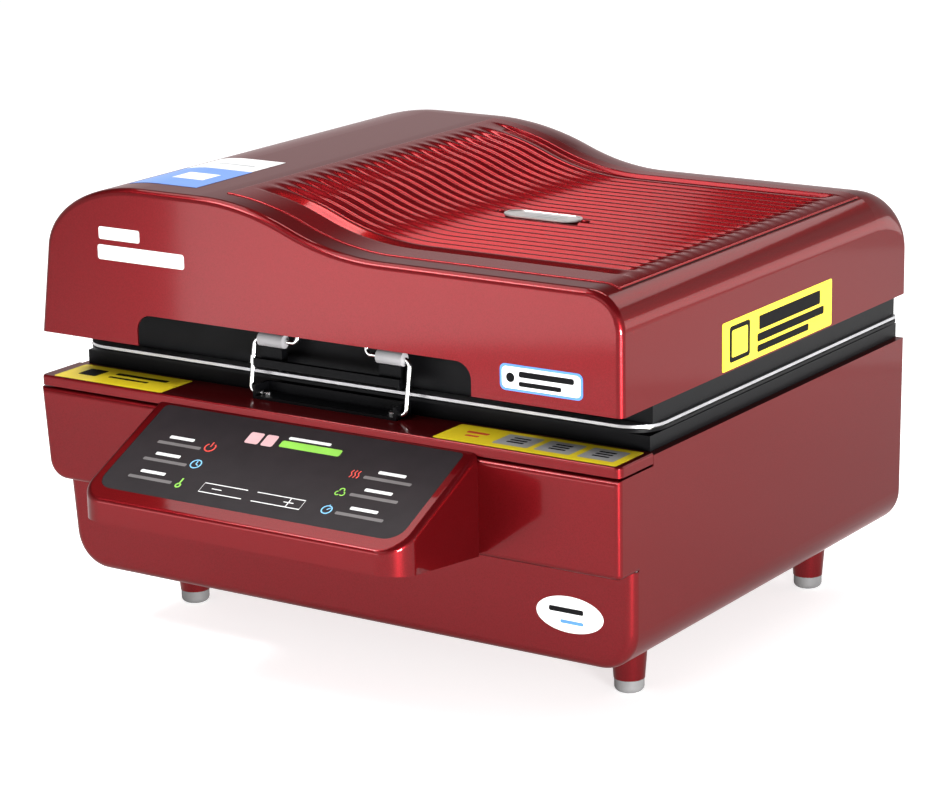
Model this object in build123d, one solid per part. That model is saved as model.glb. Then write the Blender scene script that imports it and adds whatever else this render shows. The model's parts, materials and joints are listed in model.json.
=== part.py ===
from build123d import *
import os
from math import asin, cos, hypot, radians, sin, sqrt, tan

# A benchtop 3D vacuum sublimation press.
# Millimetres. X to the right, Y to the back, Z up from the table.
# While it is drawn, y = 0 is the front plane of the lid; centre_depth moves the
# finished pieces so that the origin is the middle of the footprint.

# ---------------------------------------------------------------- body sizes
body_half_width = 300.0
body_depth = 499.0
sheet = 1.5
assembly_gap = 0.3
running_clearance = 0.06
overlap = 0.5
same_place = 0.01

# Base shell
base_front = 17.0
base_bottom = 55.0
base_top = 234.0
base_corner_radius = 34.0
base_edge_radius = 9.0
base_left_draft = 14.0
base_right_draft = 1.5
base_flange_width = 18.0
vent_slot_length = 46.0
vent_slot_width = 5.0
vent_slot_pitch = 14.0
vent_slot_count = 9
vent_centre_x = 150.0
vent_centre_y = 240.0

# Front fascia below the ledge
fascia_front = -5.0
fascia_back = 26.0
fascia_bottom = 142.0
fascia_top = 225.0
fascia_wall = 1.5
fascia_left_draft = 6.0
fascia_left_radius = 18.0
fascia_right_radius = 4.0
fascia_edge_radius = 5.0

# Ledge plate on top of the fascia
ledge_front = -4.0
ledge_back = 47.5
ledge_lip_bottom = 227.0
ledge_top = 236.0
ledge_wall = 3.0
ledge_corner_radius = 6.0
ledge_edge_radius = 2.0
ledge_plinth_inset = 9.0
ledge_plinth_step = 7.0

# Control housing
console_half_width = 166.0
console_reach = 114.0
console_slope = 0.481
console_drop = 6.9
console_front_height = 20.3
console_corner_radius = 25.0
console_edge_radius = 5.0
console_wall = 3.0
console_top_wall = 5.0
overlay_half_width = 155.0
overlay_length = 110.0
overlay_back_margin = 1.5
overlay_thickness = 1.8
overlay_recess = 2.0
overlay_clearance = 0.2
overlay_front_radius = 16.0
overlay_back_radius = 5.0
overlay_bearing = 8.0
board_thickness = 1.6
board_gap = 1.6
board_post_inset = 4.0
board_post_sink = 1.0

# Feet
foot_side_inset = 66.0
foot_front_inset = 102.0
foot_back_inset = 56.0
foot_top_radius = 17.0
foot_tip_radius = 13.5
pad_height = 12.0
pad_radius = 13.0
pad_edge_radius = 5.0

# Vacuum tray and table
tray_side_inset = 7.0
tray_front_gap = 7.0
tray_rim_height = 13.0
tray_wall = 2.0
tray_rim_width = 25.0
tray_floor = 203.0
table_thickness = 3.0
table_top_drop = 16.0
table_edge_gap = 4.0
table_hole_radius = 1.5
table_hole_pitch = 38.0
table_hole_columns = 13
table_hole_rows = 9
boss_radius = 8.0
boss_inset_x = 70.0
boss_inset_y = 60.0
seal_width = 10.0
seal_height = 2.2

# Membrane frame
ring_thickness = 2.5
membrane_thickness = 1.2
ring_overhang = 3.0
ring_front_overhang = 9.5
ring_front_radius = 30.0
ring_back_radius = 8.0
ring_back_gap = 2.0
screw_head_radius = 4.0
screw_head_height = 2.2
screw_shank_radius = 2.0
screw_spacing = 110.0
screw_inset = 10.0

# Lid shell
lid_bottom = 275.0
lid_flat_top = 376.0
lid_hump_height = 37.0
lid_right_radius = 33.0
curve_start_x = 68.6
curve_length = 187.6
shoulder_inset = 116.0
shoulder_centre_z = 349.5
shoulder_reach = 105.0
shoulder_angle = 5.4
lid_front_edge_radius = 6.0
back_slope_length = 56.0
back_slope_drop = 26.0
back_slope_steps = 6
cutout_left = -189.0
cutout_right = 158.0
cutout_top = 303.0
cutout_radius = 15.0

# Grille panel let into the lid top
grille_left = -105.0
grille_side_margin = 18.0
grille_front = 26.0
grille_back = 440.0
grille_flange = 7.0
grille_thickness = 2.0
grille_recess = 3.0
grille_skirt = 1.0
field_front_margin = 27.0
field_back_margin = 14.0
field_side_margin = 9.0
rib_count = 24
rib_pitch = 14.25
rib_drop = 0.3
rib_width = 8.0
rib_front_margin = 15.0
rib_end_margin = 6.0
skin_reach = 20.0
badge_length = 76.0
badge_width = 26.0
badge_thickness = 1.5
badge_centre_x = 91.0
badge_centre_y = 217.0

# Oven chamber inside the lid
chamber_front_gap = 4.5
chamber_back_gap = 6.0
chamber_wall = 1.5
chamber_skirt_top = 284.0
chamber_shoulder = 28.0
chamber_top = 345.0
chamber_tab_width = 40.0
chamber_tab_inset = 30.0
chamber_tab_rise = 4.0
reflector_thickness = 1.5
reflector_margin = 40.0
heater_count = 4
heater_first_x = -60.0
heater_pitch = 80.0
heater_radius = 6.0
heater_drop = 17.5
tube_end = 4.0
rail_thickness = 6.0
rail_margin = 24.0
rail_overhang = 25.0
rail_below_tube = 3.0
guard_drop = 17.0
guard_wire_nest = 1.2
guard_wire_radius = 1.5
guard_wire_count = 13
guard_cross_count = 5
blanket_thickness = 16.0
blanket_motor_gap = 14.0
blanket_side_gap = 10.0
blanket_end_gap = 20.0
blanket_corner_radius = 12.0
impeller_inset = 75.0
impeller_y = 276.0
impeller_radius = 62.0
impeller_height = 14.0
impeller_gap = 4.0
impeller_disc = 2.0
impeller_hub_radius = 12.0
impeller_blades = 10
vane_inner_radius = 18.0
vane_tip_gap = 6.0
vane_offset = 4.0
vane_angle = 25.0
vane_thickness = 2.0
fan_shaft_radius = 4.0
fan_shaft_reach = 18.0
fan_shaft_bore = 20.0
fan_motor_radius = 36.0
fan_motor_height = 44.0
fan_motor_edge_radius = 6.0
probe_radius = 2.5
probe_length = 60.0
probe_inset = 25.0
probe_boss_radius = 6.0
probe_boss_length = 4.0

# Rear hinges
hinge_axis_back = 13.0
hinge_axis_z = 262.0
hinge_spread = 210.0
hinge_pin_radius = 4.0
knuckle_radius = 8.0
lug_thickness = 4.0
lug_offset = 22.0
lid_knuckle_offset = 12.0
lid_knuckle_width = 8.0
frame_knuckle_half = 8.0
arm_rise = 2.0
hinge_plate_thickness = 4.0
hinge_plate_height = 90.0
hinge_plate_top = 240.0
hinge_cheek_root = 30.0
lid_arm_plate_height = 50.0
lid_arm_thickness = 3.0
lid_arm_rise = 3.0
lid_arm_cheek_root = 12.0

# Wire latch bail on the ledge
bail_centre_x = -9.0
bail_half_width = 81.0
bail_pivot_y = 30.0
bail_pivot_rise = 4.5
bail_lean = 10.2
bail_wire_radius = 2.0
bail_sleeve_distance = 46.2
bail_grip_distance = 58.4
bail_grip_half = 36.0
bail_end_length = 12.0
bail_bend_radius = 8.0
bail_shoulder_bend = 6.0
bail_small_bend = 5.0
sleeve_radius = 6.0
sleeve_length = 26.0
sleeve_outer_offset = 79.0
collar_radius = 2.9
collar_clearance = 0.4
collar_low = 24.0
collar_high = 31.0
bracket_half_length = 75.0
bracket_front = 24.0
bracket_back = 46.0
bracket_plate = 2.5
bracket_height = 11.5
bracket_ear = 3.0
bracket_screw_inset = 10.0
bracket_screw_offset = 3.0
bracket_screw_radius = 3.2
bracket_screw_height = 2.4
latch_bar_height = 7.0
latch_bar_depth = 5.0
latch_bar_bottom = 263.0
latch_arm_thickness = 4.0
latch_back = 57.0
catch_width = 22.0
catch_front = 35.5
catch_back = 43.0

# Rear panel fittings
fan_x = -110.0
fan_z = 145.0
fan_size = 80.0
fan_depth = 25.0
fan_opening_radius = 36.0
fan_rotor_radius = 34.5
fan_hub_radius = 16.0
fan_blades = 7
fan_spindle_radius = 1.5
fan_corner_radius = 5.0
fan_plate_thickness = 3.0
fan_spoke_count = 4
fan_spoke_width = 5.0
fan_blade_angle = 40.0
fan_blade_thickness = 1.6
fan_blade_depth = 20.0
fan_rotor_gap = 1.0
fan_slot_height = 6.0
fan_slot_pitch = 9.0
inlet_x = 120.0
inlet_z = 110.0
inlet_width = 27.6
inlet_height = 20.0
inlet_flange = 5.0
inlet_flange_thickness = 2.5
inlet_depth = 24.0
inlet_pocket_wall = 2.0
inlet_pocket_depth = 19.0
inlet_pin_length = 12.0
inlet_pin_spacing = 7.0
inlet_pin_rise = 1.5
inlet_earth_drop = 2.5
inlet_pin_width = 2.0
inlet_pin_height = 4.0
switch_x = 180.0
switch_width = 21.0
switch_height = 28.0
switch_flange = 2.0
switch_flange_thickness = 2.0
switch_depth = 22.0
rocker_width = 14.0
rocker_half_height = 8.8
rocker_thickness = 3.4
rocker_tilt = 8.0
rocker_pin_radius = 1.5
rocker_pin_reach = 2.2
rocker_side_gap = 0.3
rocker_axis_depth = 1.0
rocker_back = 2.0
switch_pocket_height = 20.4
switch_pocket_depth = 10.0

# Pump and electrics inside the base
pump_x = 150.0
pump_y = 330.0
pump_width = 64.0
pump_depth = 60.0
pump_height = 58.0
pump_motor_radius = 27.0
pump_motor_length = 74.0
pump_corner_radius = 6.0
pump_motor_edge_radius = 5.0
pump_head_radius = 20.0
pump_head_height = 10.0
pump_port_height = 6.0
pump_port_wall = 2.0
mount_radius = 8.0
mount_height = 12.0
mount_inset = 12.0
hose_radius = 5.0
hose_rise = 32.0
hose_run = 90.0
hose_bend = 17.0
fitting_radius = 9.0
fitting_height = 14.0
power_board_x = -120.0
power_board_y = 250.0
power_board_length = 160.0
power_board_width = 110.0
standoff_height = 8.0
standoff_radius = 4.0
standoff_inset = 8.0
transformer_inset_x = 18.0
transformer_inset_y = 20.0
transformer_length = 44.0
transformer_width = 36.0
transformer_height = 32.0
filter_inset_x = 14.0
filter_inset_y = 18.0
filter_length = 32.0
filter_width = 26.0
filter_height = 18.0
capacitor_count = 3
capacitor_radius = 7.0
capacitor_height = 22.0
capacitor_pitch = 18.0
capacitor_inset_x = 84.0
capacitor_inset_y = 24.0
relay_x = 10.0
relay_size = 58.0
relay_height = 26.0
relay_base_height = 8.0
relay_fins = 6
relay_slot_width = 4.0

# ------------------------------------------------------------ derived places
shell_back = body_depth - sheet
tray_half_width = body_half_width - tray_side_inset
tray_front = ledge_back + tray_front_gap
foot_spread = body_half_width - foot_side_inset
foot_front_y = base_front + foot_front_inset
foot_back_y = body_depth - foot_back_inset
base_floor = base_bottom + sheet
tray_back = body_depth - 1.0
tray_top = base_top + tray_rim_height
ring_low = tray_top + seal_height + assembly_gap
membrane_low = ring_low + ring_thickness
upper_ring_low = membrane_low + membrane_thickness
ring_top = upper_ring_low + ring_thickness
ring_half_width = tray_half_width + ring_overhang
ring_front = tray_front - ring_front_overhang
ring_back = body_depth - ring_back_gap
window_half_width = tray_half_width - tray_rim_width - tray_wall
window_front = tray_front + tray_rim_width + tray_wall
window_back = tray_back - tray_rim_width - tray_wall
chamber_bottom = ring_top + assembly_gap
chamber_ceiling = chamber_top - chamber_wall
chamber_front = tray_front + chamber_front_gap
chamber_back = body_depth - chamber_back_gap
chamber_upper_half_width = tray_half_width - chamber_shoulder
heater_height = chamber_ceiling - heater_drop
guard_height = heater_height - guard_drop
impeller_x = -chamber_upper_half_width + impeller_inset
probe_x = chamber_upper_half_width - probe_inset
shoulder_centre_x = -body_half_width + shoulder_inset
grille_right = body_half_width - grille_side_margin
lid_hump_top = lid_flat_top + lid_hump_height
table_top = tray_top - table_top_drop
table_bottom = table_top - table_thickness
hinge_axis_y = body_depth + hinge_axis_back
bail_pivot_z = ledge_top + bail_pivot_rise
slope_length = hypot(1.0, console_slope)
console_top_back = ledge_top - console_drop
console_front = fascia_front - console_reach
console_top_front = console_top_back - console_slope * console_reach
console_bottom_front = console_top_front - console_front_height
hinge_reach = hinge_axis_y + knuckle_radius + 1.0
centre_depth = (console_front + hinge_reach) / 2


# ------------------------------------------------------------------- helpers
def block(x0, x1, y0, y1, z0, z1):
    """Box between two opposite corners."""
    middle = Pos((x0 + x1) / 2, (y0 + y1) / 2, (z0 + z1) / 2)
    return middle * Box(x1 - x0, y1 - y0, z1 - z0)


def front_slab(outline, y0, y1):
    """Outline drawn in x and z, thickened from y0 back to y1."""
    plane = Plane(origin=(0, y0, 0), x_dir=(1, 0, 0), z_dir=(0, -1, 0))
    return extrude(plane * outline, amount=-(y1 - y0))


def side_slab(outline, x0, x1):
    """Outline drawn in y and z, thickened from x0 across to x1."""
    plane = Plane(origin=(x0, 0, 0), x_dir=(0, 1, 0), z_dir=(1, 0, 0))
    return extrude(plane * outline, amount=x1 - x0)


def rod_x(x0, x1, y, z, radius):
    return Pos((x0 + x1) / 2, y, z) * Rot(0, 90, 0) * Cylinder(radius, x1 - x0)


def rod_y(y0, y1, x, z, radius):
    return Pos(x, (y0 + y1) / 2, z) * Rot(90, 0, 0) * Cylinder(radius, y1 - y0)


def rod_z(z0, z1, x, y, radius):
    return Pos(x, y, (z0 + z1) / 2) * Cylinder(radius, z1 - z0)


def outline_of(*points):
    return make_face(Polyline(*points, close=True))


def edges_at_front(solid, y):
    return [edge for edge in solid.edges() if abs(edge.bounding_box().min.Y - y) < same_place
            and abs(edge.bounding_box().max.Y - y) < same_place]


def slope_plane(depth):
    """Plane parallel to the sloping console top, depth below it, y_dir up the slope."""
    normal = (0, -console_slope / slope_length, 1 / slope_length)
    at_back = Vector(0, fascia_front, console_top_back)
    return Plane(origin=at_back - Vector(*normal) * depth, x_dir=(1, 0, 0), z_dir=normal)


# ----------------------------------------------------------------- base body
def base_outline(inset, top):
    """Base section: nearly upright walls and large lower corners."""
    shape = outline_of(
        (-body_half_width + inset, top),
        (body_half_width - inset, top),
        (body_half_width - base_right_draft - inset, base_bottom + inset),
        (-body_half_width + base_left_draft + inset, base_bottom + inset))
    lower = shape.vertices().sort_by(Axis.Y)[:2]
    return fillet(lower, base_corner_radius - inset)


def bottom_vents():
    """Slots through the base floor below the pump."""
    slots = []
    for index in range(vent_slot_count):
        x = vent_centre_x + (index - (vent_slot_count - 1) / 2) * vent_slot_pitch
        slots.append(block(x - vent_slot_width / 2, x + vent_slot_width / 2,
                           vent_centre_y - vent_slot_length / 2,
                           vent_centre_y + vent_slot_length / 2,
                           base_bottom - 1, base_floor + 1))
    return slots


def make_base_shell():
    outer = front_slab(base_outline(0, base_top), base_front, shell_back)
    outer = fillet(edges_at_front(outer, base_front), base_edge_radius)
    inner = front_slab(base_outline(sheet, base_top + sheet), base_front + sheet, shell_back + sheet)
    inner = fillet(edges_at_front(inner, base_front + sheet), base_edge_radius - sheet)
    shell = outer - inner
    wide = body_half_width + sheet
    shell -= block(-wide, wide, base_front - sheet, fascia_back, fascia_bottom, base_top + sheet)
    shell -= block(-wide, wide, base_front - sheet, ledge_back + overlap, fascia_top, base_top + sheet)
    flange = block(-body_half_width + sheet, body_half_width - sheet, ledge_back + overlap, shell_back,
                   base_top - sheet, base_top)
    flange -= block(-body_half_width + base_flange_width, body_half_width - base_flange_width,
                    tray_front + tray_wall + sheet, tray_back - tray_wall - sheet,
                    base_top - 2 * sheet, base_top + sheet)
    shell += flange
    for slot in bottom_vents():
        shell -= slot
    return shell


def make_rear_panel():
    panel = front_slab(base_outline(0, base_top), shell_back, body_depth)
    rows = int(2 * fan_opening_radius / fan_slot_pitch)
    for index in range(rows):
        z = (index - (rows - 1) / 2) * fan_slot_pitch
        reach = sqrt(fan_opening_radius ** 2 - z ** 2) - fan_slot_height / 2
        panel -= block(fan_x - reach, fan_x + reach, shell_back - 1, body_depth + 1,
                       fan_z + z - fan_slot_height / 2, fan_z + z + fan_slot_height / 2)
    for index in range(vent_slot_count):
        x = (index - (vent_slot_count - 1) / 2) * vent_slot_pitch
        panel -= block(x - vent_slot_width / 2, x + vent_slot_width / 2, shell_back - 1, body_depth + 1,
                       fan_z - vent_slot_length / 2, fan_z + vent_slot_length / 2)
    panel -= block(inlet_x - inlet_width / 2, inlet_x + inlet_width / 2, shell_back - 1, body_depth + 1,
                   inlet_z - inlet_height / 2, inlet_z + inlet_height / 2)
    panel -= block(switch_x - switch_width / 2, switch_x + switch_width / 2, shell_back - 1, body_depth + 1,
                   inlet_z - switch_height / 2, inlet_z + switch_height / 2)
    return panel


def fascia_outline(inset):
    shape = outline_of(
        (-body_half_width + inset, fascia_top - inset),
        (body_half_width - inset, fascia_top - inset),
        (body_half_width - inset, fascia_bottom + inset),
        (-body_half_width + fascia_left_draft + inset, fascia_bottom + inset))
    low = shape.vertices().sort_by(Axis.Y)[:2]
    left = low.sort_by(Axis.X)[0]
    shape = fillet([left], fascia_left_radius - inset)
    right = shape.vertices().sort_by(Axis.X)[-2:].sort_by(Axis.Y)[0]
    return fillet([right], fascia_right_radius - inset)


def make_front_fascia():
    outer = front_slab(fascia_outline(0), fascia_front, fascia_back)
    outer = fillet(edges_at_front(outer, fascia_front), fascia_edge_radius)
    inner = front_slab(fascia_outline(fascia_wall), fascia_front + fascia_wall, fascia_back + 1)
    return outer - inner


def make_front_ledge():
    ledge = block(-body_half_width, body_half_width, ledge_front, ledge_back, ledge_lip_bottom, ledge_top)
    upright = [edge for edge in ledge.edges().filter_by(Axis.Z) if edge.center().Y < 0]
    ledge = fillet(upright, ledge_corner_radius)
    rim = [edge for edge in ledge.edges() if edge.bounding_box().min.Z > ledge_top - same_place
           and edge.center().Y < ledge_back - same_place]
    ledge = fillet(rim, ledge_edge_radius)
    plinth_half = body_half_width - ledge_plinth_inset
    plinth_front = ledge_front + ledge_plinth_step
    ledge += block(-plinth_half, plinth_half, plinth_front, ledge_back, fascia_top, ledge_lip_bottom + 1)
    ledge -= block(-plinth_half + ledge_wall, plinth_half - ledge_wall, plinth_front + ledge_wall,
                   ledge_back - ledge_wall, fascia_top - 1, ledge_top - ledge_wall)
    return ledge


# ------------------------------------------------------------------- console
def overlay_outline(margin):
    """Rounded panel in slope coordinates: x across, y up the slope from the back edge."""
    half = overlay_half_width - margin
    back = -overlay_back_margin - margin
    front = back - overlay_length + 2 * margin
    shape = outline_of((-half, back), (half, back), (half, front), (-half, front))
    front_corners = shape.vertices().sort_by(Axis.Y)[:2]
    shape = fillet(front_corners, overlay_front_radius - margin)
    back_corners = shape.vertices().sort_by(Axis.Y)[-2:]
    return fillet(back_corners, max(overlay_back_radius - margin, 1.0))


def console_solid(half_width, front, top_drop, bottom_lift, corner_radius):
    """Wedge whose front corners are rounded."""
    back_z = console_top_back - top_drop
    front_top = back_z - console_slope * (fascia_front - front)
    low_front = console_bottom_front + bottom_lift
    profile = outline_of((fascia_front, back_z), (front, front_top), (front, low_front),
                         (fascia_front, fascia_bottom + bottom_lift))
    wedge = side_slab(profile, -half_width, half_width)
    upright = [edge for edge in wedge.edges().filter_by(Axis.Z) if edge.center().Y < front + same_place]
    return fillet(upright, corner_radius)


def make_control_housing():
    housing = console_solid(console_half_width, console_front, 0, 0, console_corner_radius)
    top_face = housing.faces().sort_by(Axis.Z)[-1]
    rim = [edge for edge in top_face.edges() if edge.center().Y < fascia_front - same_place]
    housing = fillet(rim, console_edge_radius)
    void = console_solid(console_half_width - console_wall, console_front + console_wall,
                         console_top_wall, console_wall, console_corner_radius - console_wall)
    housing -= void
    housing -= extrude(slope_plane(overlay_recess) * overlay_outline(-overlay_clearance), amount=2 * overlay_recess)
    housing -= extrude(slope_plane(2 * console_top_wall) * overlay_outline(overlay_bearing),
                       amount=2 * console_top_wall)
    inner_skin = slope_plane(console_top_wall)
    bosses = []
    for x in (-1, 1):
        for y in (overlay_bearing, overlay_length - overlay_bearing + 2 * overlay_back_margin):
            place = inner_skin * Pos(x * (overlay_half_width - board_post_inset), -y, 0)
            post = Cylinder(standoff_radius, board_gap + board_post_sink)
            bosses.append(place * Pos(0, 0, (board_post_sink - board_gap) / 2) * post)
    for boss in bosses:
        housing += boss
    return housing


def make_control_overlay():
    return extrude(slope_plane(overlay_recess) * overlay_outline(0), amount=overlay_thickness)


def make_control_board():
    depth = console_top_wall + board_gap + board_thickness
    half = overlay_half_width
    back = -overlay_bearing / 2
    shape = outline_of((-half, back), (half, back), (half, back - overlay_length), (-half, back - overlay_length))
    return extrude(slope_plane(depth) * shape, amount=board_thickness)


# ---------------------------------------------------------------------- feet
def make_foot(x, y):
    height = base_bottom - pad_height
    cone = Cone(foot_tip_radius, foot_top_radius, height)
    return Pos(x, y, pad_height + height / 2) * cone


def make_foot_pad(x, y):
    pad = Cylinder(pad_radius, pad_height)
    pad = fillet(pad.edges().sort_by(Axis.Z)[0], pad_edge_radius)
    return Pos(x, y, pad_height / 2) * pad


# --------------------------------------------------------- vacuum tray group
def boss_places():
    """Centres of the six table supports."""
    places = []
    for x in (-1, 0, 1):
        for y in (window_front + boss_inset_y, window_back - boss_inset_y):
            places.append((x * (window_half_width - boss_inset_x), y))
    return places


def make_vacuum_tray():
    rim = block(-tray_half_width, tray_half_width, tray_front, tray_back, base_top, tray_top)
    rim -= block(-tray_half_width + tray_wall, tray_half_width - tray_wall, tray_front + tray_wall,
                 tray_back - tray_wall, base_top - 1, tray_top - tray_wall)
    pan = block(-window_half_width - tray_wall, window_half_width + tray_wall,
                window_front - tray_wall, window_back + tray_wall, tray_floor, tray_top)
    well = block(-window_half_width, window_half_width, window_front, window_back,
                 tray_floor + tray_wall, tray_top + 1)
    tray = rim + pan - well
    for x, y in boss_places():
        tray += rod_z(tray_floor + tray_wall, table_bottom, x, y, boss_radius)
    drain_x = pump_x - hose_run
    tray -= rod_z(tray_floor - 1, tray_floor + tray_wall + 1, drain_x, pump_y, hose_radius / 2)
    return tray


def make_vacuum_table():
    half = window_half_width - table_edge_gap
    front = window_front + table_edge_gap
    back = window_back - table_edge_gap
    table = block(-half, half, front, back, table_bottom, table_top)
    middle = (front + back) / 2
    holes = []
    for column in range(table_hole_columns):
        for row in range(table_hole_rows):
            x = (column - (table_hole_columns - 1) / 2) * table_hole_pitch
            y = middle + (row - (table_hole_rows - 1) / 2) * table_hole_pitch
            holes.append(rod_z(table_bottom - 1, table_top + 1, x, y, table_hole_radius))
    return table - holes


def ring(half_x, front, back, inner_x, inner_front, inner_back, z0, z1):
    outer = block(-half_x, half_x, front, back, z0, z1)
    return outer - block(-inner_x, inner_x, inner_front, inner_back, z0 - 1, z1 + 1)


def make_tray_seal():
    edge = tray_rim_width / 2 - seal_width / 2
    return ring(window_half_width + edge + seal_width, window_front - edge - seal_width,
                window_back + edge + seal_width, window_half_width + edge, window_front - edge,
                window_back + edge, tray_top, tray_top + seal_height)


# ------------------------------------------------------------ membrane frame
def frame_plate(z0, z1):
    plate = block(-ring_half_width, ring_half_width, ring_front, ring_back, z0, z1)
    upright = plate.edges().filter_by(Axis.Z).sort_by(Axis.Y)
    plate = fillet(upright[:2], ring_front_radius)
    upright = [edge for edge in plate.edges().filter_by(Axis.Z) if edge.center().Y > ring_back - 1]
    plate = fillet(upright, ring_back_radius)
    return plate


def frame_window(z0, z1):
    return block(-window_half_width, window_half_width, window_front, window_back, z0 - 1, z1 + 1)


def frame_screw_places():
    """Screw centres along the four sides of the clamp ring."""
    places = []
    columns = int(2 * window_half_width / screw_spacing)
    for index in range(columns + 1):
        x = (index - columns / 2) * screw_spacing
        places.append((x, window_front - screw_inset))
        places.append((x, window_back + screw_inset))
    rows = int((window_back - window_front) / screw_spacing)
    middle = (window_front + window_back) / 2
    for index in range(rows + 1):
        y = middle + (index - rows / 2) * screw_spacing
        places.append((window_half_width + screw_inset, y))
        places.append((-window_half_width - screw_inset, y))
    return places


def screw_bores(z0, z1):
    return [rod_z(z0, z1, x, y, screw_shank_radius) for x, y in frame_screw_places()]


def make_frame_lower_ring():
    top = membrane_low
    return frame_plate(ring_low, top) - frame_window(ring_low, top) - screw_bores(ring_low - 1, top + 1)


def make_frame_upper_ring():
    low = upper_ring_low
    plate = frame_plate(low, ring_top) - frame_window(low, ring_top)
    return plate - screw_bores(low - 1, ring_top + 1)


def make_membrane():
    edge = tray_rim_width
    sheet_part = block(-window_half_width - edge, window_half_width + edge, window_front - edge,
                       window_back + edge, membrane_low, upper_ring_low)
    return sheet_part - screw_bores(membrane_low - 1, upper_ring_low + 1)


def make_frame_screws():
    screws = []
    for x, y in frame_screw_places():
        shank = rod_z(ring_low, ring_top, x, y, screw_shank_radius)
        head = rod_z(ring_top, ring_top + screw_head_height, x, y, screw_head_radius)
        screws.append(shank + head)
    return Compound(screws)


def make_frame_arm(x):
    """Arm from the back of the frame to its knuckle on the hinge pin."""
    knuckle = Pos(hinge_axis_y, hinge_axis_z) * Circle(knuckle_radius)
    web = outline_of((ring_back, ring_low), (hinge_axis_y, ring_low + arm_rise), (hinge_axis_y, hinge_axis_z),
                     (ring_back, ring_top))
    half = frame_knuckle_half
    arm = side_slab(web + knuckle, x - half, x + half)
    return arm - rod_x(x - half - 1, x + half + 1, hinge_axis_y, hinge_axis_z, hinge_pin_radius + running_clearance)


# ------------------------------------------------------------- hinge brackets
def make_hinge_bracket(x):
    """Rear plate with two lugs that hold the hinge pin."""
    outer = lug_offset + lug_thickness
    plate_bottom = hinge_plate_top - hinge_plate_height
    plate = block(x - outer, x + outer, body_depth, body_depth + hinge_plate_thickness,
                  plate_bottom, hinge_plate_top)
    cheek = outline_of(
        (body_depth, hinge_plate_top - hinge_cheek_root),
        (body_depth + hinge_plate_thickness, hinge_plate_top - hinge_cheek_root),
        (hinge_axis_y + knuckle_radius, hinge_axis_z), (hinge_axis_y - knuckle_radius, hinge_axis_z),
        (body_depth, hinge_plate_top))
    cheek += Pos(hinge_axis_y, hinge_axis_z) * Circle(knuckle_radius + 1)
    bracket = plate
    for side in (-1, 1):
        near = x + side * lug_offset
        far = x + side * outer
        bracket += side_slab(cheek, min(near, far), max(near, far))
    return bracket - rod_x(x - outer - 1, x + outer + 1, hinge_axis_y, hinge_axis_z, hinge_pin_radius)


def make_hinge_pins():
    reach = lug_offset + lug_thickness + 1
    pins = [rod_x(side * hinge_spread - reach, side * hinge_spread + reach, hinge_axis_y, hinge_axis_z,
                  hinge_pin_radius) for side in (-1, 1)]
    return Compound(pins)


def make_lid_arm(x):
    """Plate on the back of the lid with two knuckles on the hinge pin."""
    half = lid_knuckle_offset + lid_knuckle_width
    low = lid_bottom + lid_arm_rise
    face = body_depth + lid_arm_thickness
    plate = block(x - half, x + half, body_depth, face, low, low + lid_arm_plate_height)
    cheek = outline_of((body_depth, low), (face, low + lid_arm_cheek_root),
                       (hinge_axis_y + knuckle_radius, hinge_axis_z),
                       (hinge_axis_y - knuckle_radius, hinge_axis_z))
    cheek += Pos(hinge_axis_y, hinge_axis_z) * Circle(knuckle_radius)
    arm = plate
    for side in (-1, 1):
        near = x + side * lid_knuckle_offset
        far = x + side * half
        arm += side_slab(cheek, min(near, far), max(near, far))
    return arm - rod_x(x - half - 1, x + half + 1, hinge_axis_y, hinge_axis_z, hinge_pin_radius + running_clearance)


# ----------------------------------------------------------------- lid shell
def curve_radius():
    """Radius of the two arcs that join the flat top to the hump."""
    return (curve_length ** 2 + lid_hump_height ** 2) / (4 * lid_hump_height)


def lid_outline(grow=0.0, low=lid_bottom, drop=0.0):
    """Lid section: upright right wall, flat, S-curve, hump and a large left shoulder.

    grow moves the whole section outward along its normals, low is where both walls end
    and drop lowers the top while the walls stay where they are.
    """
    radius = curve_radius()
    swing = asin(curve_length / 2 / radius)
    half_width = body_half_width + grow
    corner = body_half_width - lid_right_radius
    corner_low = lid_flat_top - drop - lid_right_radius
    flat = lid_flat_top - drop + grow
    hump = lid_hump_top - drop + grow
    shoulder_z = shoulder_centre_z - drop
    inflection = (curve_start_x - curve_length / 2 + grow * sin(swing),
                  lid_flat_top - drop + lid_hump_height / 2 + grow * cos(swing))
    wall_top, lean = left_wall(grow)
    wall_top_z = wall_top[1] - drop
    wall_foot = (wall_top[0] - lean * (wall_top[1] - low), low)
    lines = [
        Line(wall_foot, (half_width, low)),
        Line((half_width, low), (half_width, corner_low)),
        RadiusArc((half_width, corner_low), (corner, flat), -(lid_right_radius + grow)),
        Line((corner, flat), (curve_start_x, flat)),
        RadiusArc((curve_start_x, flat), inflection, radius - grow),
        RadiusArc(inflection, (curve_start_x - curve_length, hump), -(radius + grow)),
        Line((curve_start_x - curve_length, hump), (shoulder_centre_x, hump)),
        EllipticalCenterArc((shoulder_centre_x, shoulder_z), shoulder_reach + grow,
                            hump - shoulder_z, start_angle=90, arc_size=90 - shoulder_angle),
        Line((wall_top[0], wall_top_z), wall_foot),
    ]
    return make_face(Curve() + lines)


def left_wall(grow):
    """Top end of the leaning left wall, and its lean in x for each unit of height."""
    turn = radians(shoulder_angle)
    x = shoulder_centre_x - (shoulder_reach + grow) * cos(turn)
    z = shoulder_centre_z + (lid_hump_top + grow - shoulder_centre_z) * sin(turn)
    outer_x = shoulder_centre_x - shoulder_reach * cos(turn)
    outer_z = shoulder_centre_z + (lid_hump_top - shoulder_centre_z) * sin(turn)
    return (x, z), (outer_x + body_half_width) / (outer_z - lid_bottom)


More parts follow.
